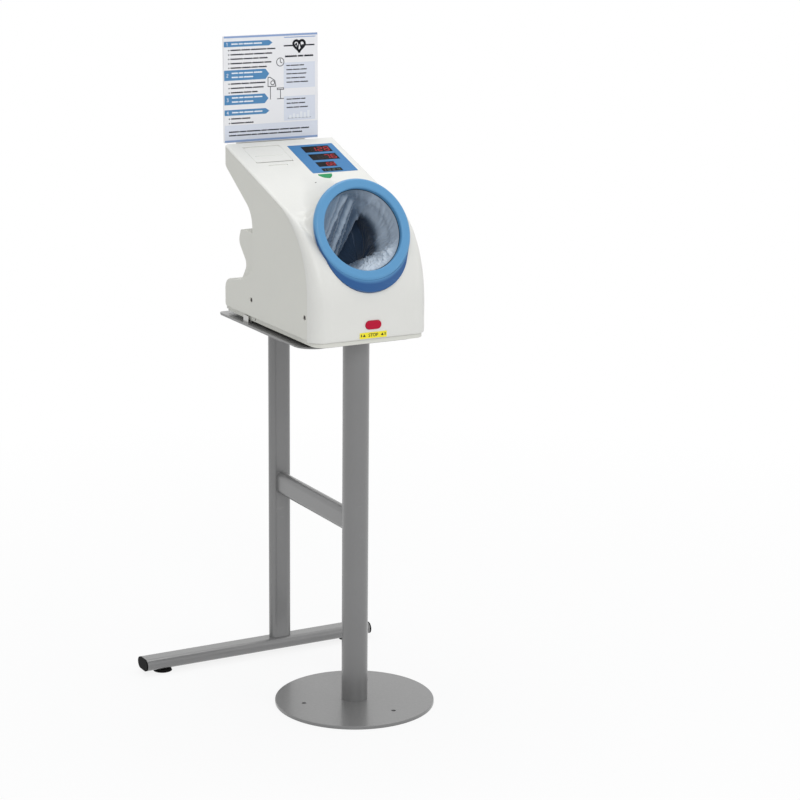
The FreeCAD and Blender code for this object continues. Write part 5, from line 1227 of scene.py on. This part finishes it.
@dataclass
class SignPrint:
    """The sign's artwork: stripes, numbered headings, rows of small print, a pulse mark and a drawing.

    Places are millimetres from the board's lower left corner, worked out as shares of its width and height.
    A heading lower than one_line holds a single row of words, and a taller one holds two.
    """

    border: float = 1.0
    bars: tuple[Bar, ...] = (
        Bar(Ink.STRIPE, left=(0, 1), base=(1, -4.4), right=(1, -1), top=(1, -0.8)),
        Bar(Ink.STRIPE, left=(0.64, 0), base=(1, -8.4), right=(1, -5), top=(1, -6.8)),
        Bar(Ink.PALE, left=(0, 1), base=(0, 1), right=(1, -1), top=(0.165, 0)),
        Bar(Ink.STRIPE, left=(0, 1), base=(0, 1), right=(1, -1), top=(0, 5)),
    )
    lifts: tuple[float, ...] = (0.08, 0.12, 0.14, 0.18, 0.2)
    notes: tuple[tuple[float, ...], ...] = (
        (22, 14, 30, 12, 26, 20, 24, 18), (16, 30, 12, 24, 18, 30, 22))
    boxes: tuple[Box, ...] = (Box(0.485, 0.727, 5), Box(0.178, 0.409, 3))
    box_sides: Point = (0.634, 0.97)
    box_inset: float = 6.0
    notes_high: float = 0.101
    rows_left: float = 10.0
    chart_place: Point = (0.69, 0.2)
    chart_past: float = 3.0
    chart_line: float = 0.7
    columns: tuple[float, ...] = (6, 9, 7, 12, 10, 14)
    column_width: float = 5.0
    column_pitch: float = 8.0
    headings: tuple[Heading, ...] = (
        Heading(0.922, 10.5, 0.48, 5), Heading(0.632, 20, 0.44, 3), Heading(0.402, 19, 0.43, 0),
        Heading(0.283, 11, 0.44, 2))
    heading_words: tuple[float, ...] = (14, 9, 20, 18)
    heading_left: float = 17.0
    one_line: float = 12.0
    tip_share: float = 0.7
    tip_most: float = 8.0
    number_left: float = 6.0
    number_line: float = 0.9
    step_left: float = 15.0
    step_drop: float = 6.6
    dot_mm: float = 2.2
    dot_wide: float = 2.4
    heading_print: Print = Print(2.4, 1.6, 8.0)
    step_print: Print = Print(2.3, 1.3, 8.6)
    note_print: Print = Print(2.3, 1.3, 7.0)
    box_print: Print = Print(1.9, 1.2, 8.2)
    mark_print: Print = Print(3.0, 2.0)
    mark_place: Point = (0.8, 0.885)
    mark_words: Point = (-31.0, -21.0)
    heart_mm: float = 12.5
    heart_line: float = 4.6
    beat_line: float = 2.6
    beat: tuple[Point, ...] = (
        (-33, 0), (-9, 0), (-6, 4), (-3, -7), (1, 9), (4, -4), (6.5, 0), (33, 0))
    drawing_place: Point = (0.5, 0.39)
    thin: float = 1.3

    def face(self) -> tuple[Vector, Vector, float, float]:
        """Find the board's front face.

        Returns:
            Its lower left corner, its up direction, and its width and height in millimetres.
        """
        board = frame["nodes"]["sign_panel"].data
        front = max((f for f in board.polygons if f.normal.y < -0.9), key=lambda f: f.area)
        up = front.normal.cross(ACROSS)
        flat = [board.vertices[i].co for f in board.polygons if f.normal.dot(front.normal) > 0.999
                for i in f.vertices]
        across = [p.dot(ACROSS) for p in flat]
        above = [p.dot(up) for p in flat]
        corner = ACROSS * min(across) + up * min(above) + front.normal * flat[0].dot(front.normal)
        return corner, up, (max(across) - min(across)) / MM, (max(above) - min(above)) / MM

    def build(self) -> None:
        """Make the printed layers."""
        corner, up, width, height = self.face()
        layer = {ink: Sheet(corner, ACROSS, up, lift) for ink, lift in zip(Ink, self.lifts)}
        self.draw_fields(layer, width, height)
        self.draw_headings(layer, width, height)
        self.draw_pulse_mark(layer[Ink.DARK], width, height)
        self.draw_arm_rest(layer[Ink.DARK], width, height)
        for ink, sheet in layer.items():
            sheet.build(f"sign_print_{ink.value}", f"print_{ink.value}", "sign_face")

    def draw_fields(self, layer: dict[Ink, Sheet], width: float, height: float) -> None:
        """Draw the stripes, the pale boxes with their small print, and a small column chart.

        Args:
            layer: the sheet of each ink.
            width: the board's width.
            height: its height.
        """
        for bar in self.bars:
            layer[bar.ink].bar(*bar.edges(width, height))
        for row, lengths in enumerate(self.notes):
            middle = height * self.notes_high - row * self.note_print.pitch
            layer[Ink.DARK].words(self.rows_left, middle, lengths, self.note_print)
        left, right = (width * share for share in self.box_sides)
        for number, box in enumerate(self.boxes):
            layer[Ink.PALE].bar(left, height * box.base, right, height * box.top)
            for row in range(box.rows):
                lengths = [8 + (row * 5 + number * 3) % 7, 18 - (row * 3) % 8, 10 + (row * 4) % 9]
                middle = height * box.top - self.box_inset - row * self.box_print.pitch
                layer[Ink.DARK].words(left + self.box_inset, middle, lengths, self.box_print)
        left, base = width * self.chart_place[0], height * self.chart_place[1]
        for place, tall in enumerate(self.columns):
            foot = left + place * self.column_pitch
            layer[Ink.WHITE].bar(foot, base, foot + self.column_width, base + tall)
        ends = left - self.chart_past, left + len(self.columns) * self.column_pitch
        layer[Ink.DARK].line([(end, base) for end in ends], self.chart_line)

    def draw_headings(self, layer: dict[Ink, Sheet], width: float, height: float) -> None:
        """Draw the blue headings with pointed ends, each with a number and its rows.

        Args:
            layer: the sheet of each ink.
            width: the board's width.
            height: its height.
        """
        for number, heading in enumerate(self.headings, start=1):
            centre, end, half = height * heading.middle, width * heading.reach, heading.tall / 2
            point = end + min(heading.tall * self.tip_share, self.tip_most)
            layer[Ink.BLUE].area([
                (self.border, centre - half), (end, centre - half), (point, centre), (end, centre + half),
                (self.border, centre + half)])
            strokes = [(self.number_left + x, centre + y) for x, y in NUMBER_STROKES[number]]
            layer[Ink.WHITE].line(strokes, self.number_line)
            half_pitch = self.heading_print.pitch / 2
            rises = (0,) if heading.tall < self.one_line else (half_pitch, -half_pitch)
            for line, rise in enumerate(rises):
                lengths = self.heading_words[:len(self.heading_words) - line]
                layer[Ink.WHITE].words(self.heading_left, centre + rise, lengths, self.heading_print)
            for row in range(heading.rows):
                low = centre - half - self.step_drop - row * self.step_print.pitch
                dot = self.dot_mm / 2
                layer[Ink.DARK].bar(self.rows_left, low - dot, self.rows_left + self.dot_wide, low + dot)
                lengths = [22 + (row * 7) % 9, 14 + (number * 5) % 8, 34 - (row * 11) % 24,
                           18 - (row * 3) % 6]
                layer[Ink.DARK].words(self.step_left, low, lengths[:4 - number // 2], self.step_print)

    def draw_pulse_mark(self, sheet: Sheet, width: float, height: float) -> None:
        """Draw a heart with a pulse line through it, at the upper right.

        Args:
            sheet: the sheet of the dark ink.
            width: the board's width.
            height: its height.
        """
        across, above, size = width * self.mark_place[0], height * self.mark_place[1], self.heart_mm
        heart = []
        for step in range(41):
            turn = 2 * math.pi * step / 40
            x = 16 * math.sin(turn) ** 3
            y = 13 * math.cos(turn) - 5 * math.cos(2 * turn) - 2 * math.cos(3 * turn) - math.cos(4 * turn)
            heart.append((across + x / 16 * size, above + y / 16 * size))
        sheet.line(heart, self.heart_line)
        sheet.line([(across + x, above + y) for x, y in self.beat], self.beat_line)
        sheet.words(across + self.mark_words[0], above + self.mark_words[1], [26, 12, 20], self.mark_print)

    def draw_arm_rest(self, sheet: Sheet, width: float, height: float) -> None:
        """Draw a table with a small monitor, a round seat and a clock over them, in thin lines.

        Args:
            sheet: the sheet of the dark ink.
            width: the board's width.
            height: its height.
        """
        left, base = width * self.drawing_place[0], height * self.drawing_place[1]
        table = [(-2, 0), (-2, 25), (10, 25)]
        seat = [(13, 0), (27, 0), (20, 0), (20, 18), (13, 18), (13, 21), (27, 21), (27, 18), (20, 18)]
        casing = [(-7, 25), (-7, 43), (-2, 43), (8, 36), (10, 25), (-7, 25)]
        opening, dial = (
            [(x + radius * math.cos(2 * math.pi * i / 24), y + radius * math.sin(2 * math.pi * i / 24))
             for i in range(25)] for x, y, radius in ((3, 32, 4.0), (20, 72, 8.0)))
        hands = [(20, 78), (20, 72), (24, 70)]
        for path in (table, seat, casing, opening, dial, hands):
            sheet.line([(left + x, base + y) for x, y in path], self.thin)


@dataclass
class StripPrint:
    """The word on the yellow strip under the red button, with a pointer at each side."""

    word: str = "STOP"
    size_mm: float = 8.6
    swell_mm: float = 0.18
    lift_mm: float = 0.06
    pointer: tuple[Point, ...] = ((22, -2), (16, -2), (19, 3))
    post: float = 25.0

    def build(self) -> None:
        """Make the word and its two pointers."""
        low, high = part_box("yellow_strip")
        middle = (Vector(low) + Vector(high)) / 2
        curve = bpy.data.curves.new("strip_word", "FONT")
        curve.body = self.word
        curve.size = self.size_mm * MM
        curve.align_x = curve.align_y = "CENTER"
        curve.offset = self.swell_mm * MM
        curve.materials.append(PAINT.get("print_ink"))
        word = bpy.data.objects.new("strip_word", curve)
        bpy.context.scene.collection.objects.link(word)
        place = Matrix.Translation((middle.x, low[1] - self.lift_mm * MM, middle.z))
        word.matrix_world = place @ Matrix.Rotation(math.pi / 2, 4, "X")
        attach(word, BODY)
        log.info("strip_word: %s", self.word)
        sheet = Sheet(Vector((middle.x, low[1], middle.z)), ACROSS, Vector((0, 0, 1)), self.lift_mm)
        for side in (-1, 1):
            sheet.area([(side * x, y) for x, y in self.pointer][::side])
            sheet.bar(side * self.post - 1, -2, side * self.post + 1, 3)
        sheet.build("strip_pointers", "print_ink", "label_yellow")


# ---------------------------------------------------------------- studio


@dataclass
class Studio:
    """The floor, the pale surroundings, the lamps and the camera."""

    floor_half: float = 60.0
    floor_height: float = -0.0002
    floor_colour: Linear = (0.93, 0.93, 0.93, 1.0)
    fade: tuple[float, ...] = (0.4, 2.2, 0.84, 1.0)
    aim: Place = (0.0, 0.1, 0.75)
    air: Linear = (0.97, 0.98, 1.0, 1.0)
    world_light: float = 0.56
    lamps: tuple[tuple[str, Place, float, float], ...] = (
        ("key_lamp", (-1.3, -3.6, 3.4), 2.0, 52.0),
        ("fill_lamp", (3.0, -2.6, 1.9), 2.4, 16.0),
        ("top_lamp", (0.3, 0.9, 3.8), 2.6, 40.0),
    )
    yaw: float = 28.85
    pitch: float = 14.01
    roll: float = -0.53
    focal_pixels: float = 2512.1
    frame_pixels: float = 800.0
    sensor_mm: float = 36.0
    eye: Place = (-2.1666, -4.1071, 1.7672)

    def seen_ray(self, graph: Graph) -> Socket:
        """Tell the rays that the eye follows from the light on the object.

        Args:
            graph: the node tree.

        Returns:
            1 for rays from the camera, a mirror or glass, and 0 for the others.
        """
        path = graph.add("LightPath")
        straight = graph.math("MAXIMUM", path.outputs["Is Camera Ray"], path.outputs["Is Glossy Ray"])
        return graph.math("MAXIMUM", straight, path.outputs["Is Transmission Ray"])

    def build_world(self) -> None:
        """Make the surroundings: white to the eye, softer as light."""
        world = bpy.data.worlds.new("studio_air")
        world.use_nodes = True
        graph = Graph(world.node_tree)
        light = graph.fill(graph.add("Background"), Color=self.air, Strength=self.world_light)
        shown = graph.fill(graph.add("Background"), Color=WHITE, Strength=1.0)
        graph.blend(self.seen_ray(graph), light, shown, "OutputWorld")
        bpy.context.scene.world = world

    def build_floor(self) -> None:
        """Make the floor: it keeps the shadow near the stand and fades into the white around."""
        half = self.floor_half
        corners = [Vector((x, y, self.floor_height)) for x, y in
                   ((-half, -half), (half, -half), (half, half), (-half, half))]
        mesh = bpy.data.meshes.new("floor")
        mesh.from_pydata(corners, [], [(0, 1, 2, 3)])
        floor = bpy.data.objects.new("floor", mesh)
        bpy.context.scene.collection.objects.link(floor)
        material = bpy.data.materials.new("floor_white")
        material.use_nodes = True
        graph = Graph(material.node_tree)
        matt = graph.fill(graph.add("BsdfDiffuse"), Color=self.floor_colour)
        pale = graph.fill(graph.add("Emission"), Color=WHITE)
        far = graph.vector("LENGTH", graph.place()).outputs["Value"]
        share = graph.math("MULTIPLY", graph.span(far, *self.fade), self.seen_ray(graph))
        graph.blend(share, matt, pale, "OutputMaterial")
        mesh.materials.append(material)

    def build_lamps(self) -> None:
        """Hang the soft lamps and turn each to the object."""
        for name, place, size, power in self.lamps:
            lamp = bpy.data.lights.new(name, "AREA")
            lamp.shape = "DISK"
            lamp.size = size
            lamp.energy = power
            hung = bpy.data.objects.new(name, lamp)
            hung.location = place
            hung.rotation_euler = (Vector(self.aim) - Vector(place)).to_track_quat("-Z", "Y").to_euler()
            bpy.context.scene.collection.objects.link(hung)

    def build_camera(self) -> None:
        """Place the camera."""
        yaw, pitch, roll = (math.radians(a) for a in (self.yaw, self.pitch, self.roll))
        ahead = Vector((math.sin(yaw) * math.cos(pitch), math.cos(yaw) * math.cos(pitch), -math.sin(pitch)))
        level = Vector((math.cos(yaw), -math.sin(yaw), 0.0))
        upright = level.cross(ahead)
        right = level * math.cos(roll) - upright * math.sin(roll)
        up = level * math.sin(roll) + upright * math.cos(roll)
        camera = bpy.data.cameras.new("camera")
        camera.sensor_width = self.sensor_mm
        camera.lens = self.focal_pixels * self.sensor_mm / self.frame_pixels
        camera.clip_end = 200.0
        held = bpy.data.objects.new("camera", camera)
        held.matrix_world = Matrix((
            (*right, 0), (*up, 0), (*-ahead, 0), (*self.eye, 1))).transposed()
        bpy.context.scene.collection.objects.link(held)
        bpy.context.scene.camera = held

    def build(self) -> None:
        """Make the studio."""
        self.build_world()
        self.build_floor()
        self.build_lamps()
        self.build_camera()
        bpy.context.scene.view_settings.view_transform = "Standard"
        log.info("studio: %d lamps", len(self.lamps))


def main() -> None:
    """Dress the nodes, make the soft and printed pieces, and set the studio."""
    Studio().build()
    PAINT.dress_nodes()
    CuffSleeve().build()
    Readings().build()
    SignPrint().build()
    StripPrint().build()
    bpy.context.view_layer.update()


if __name__ == "__main__":
    main()
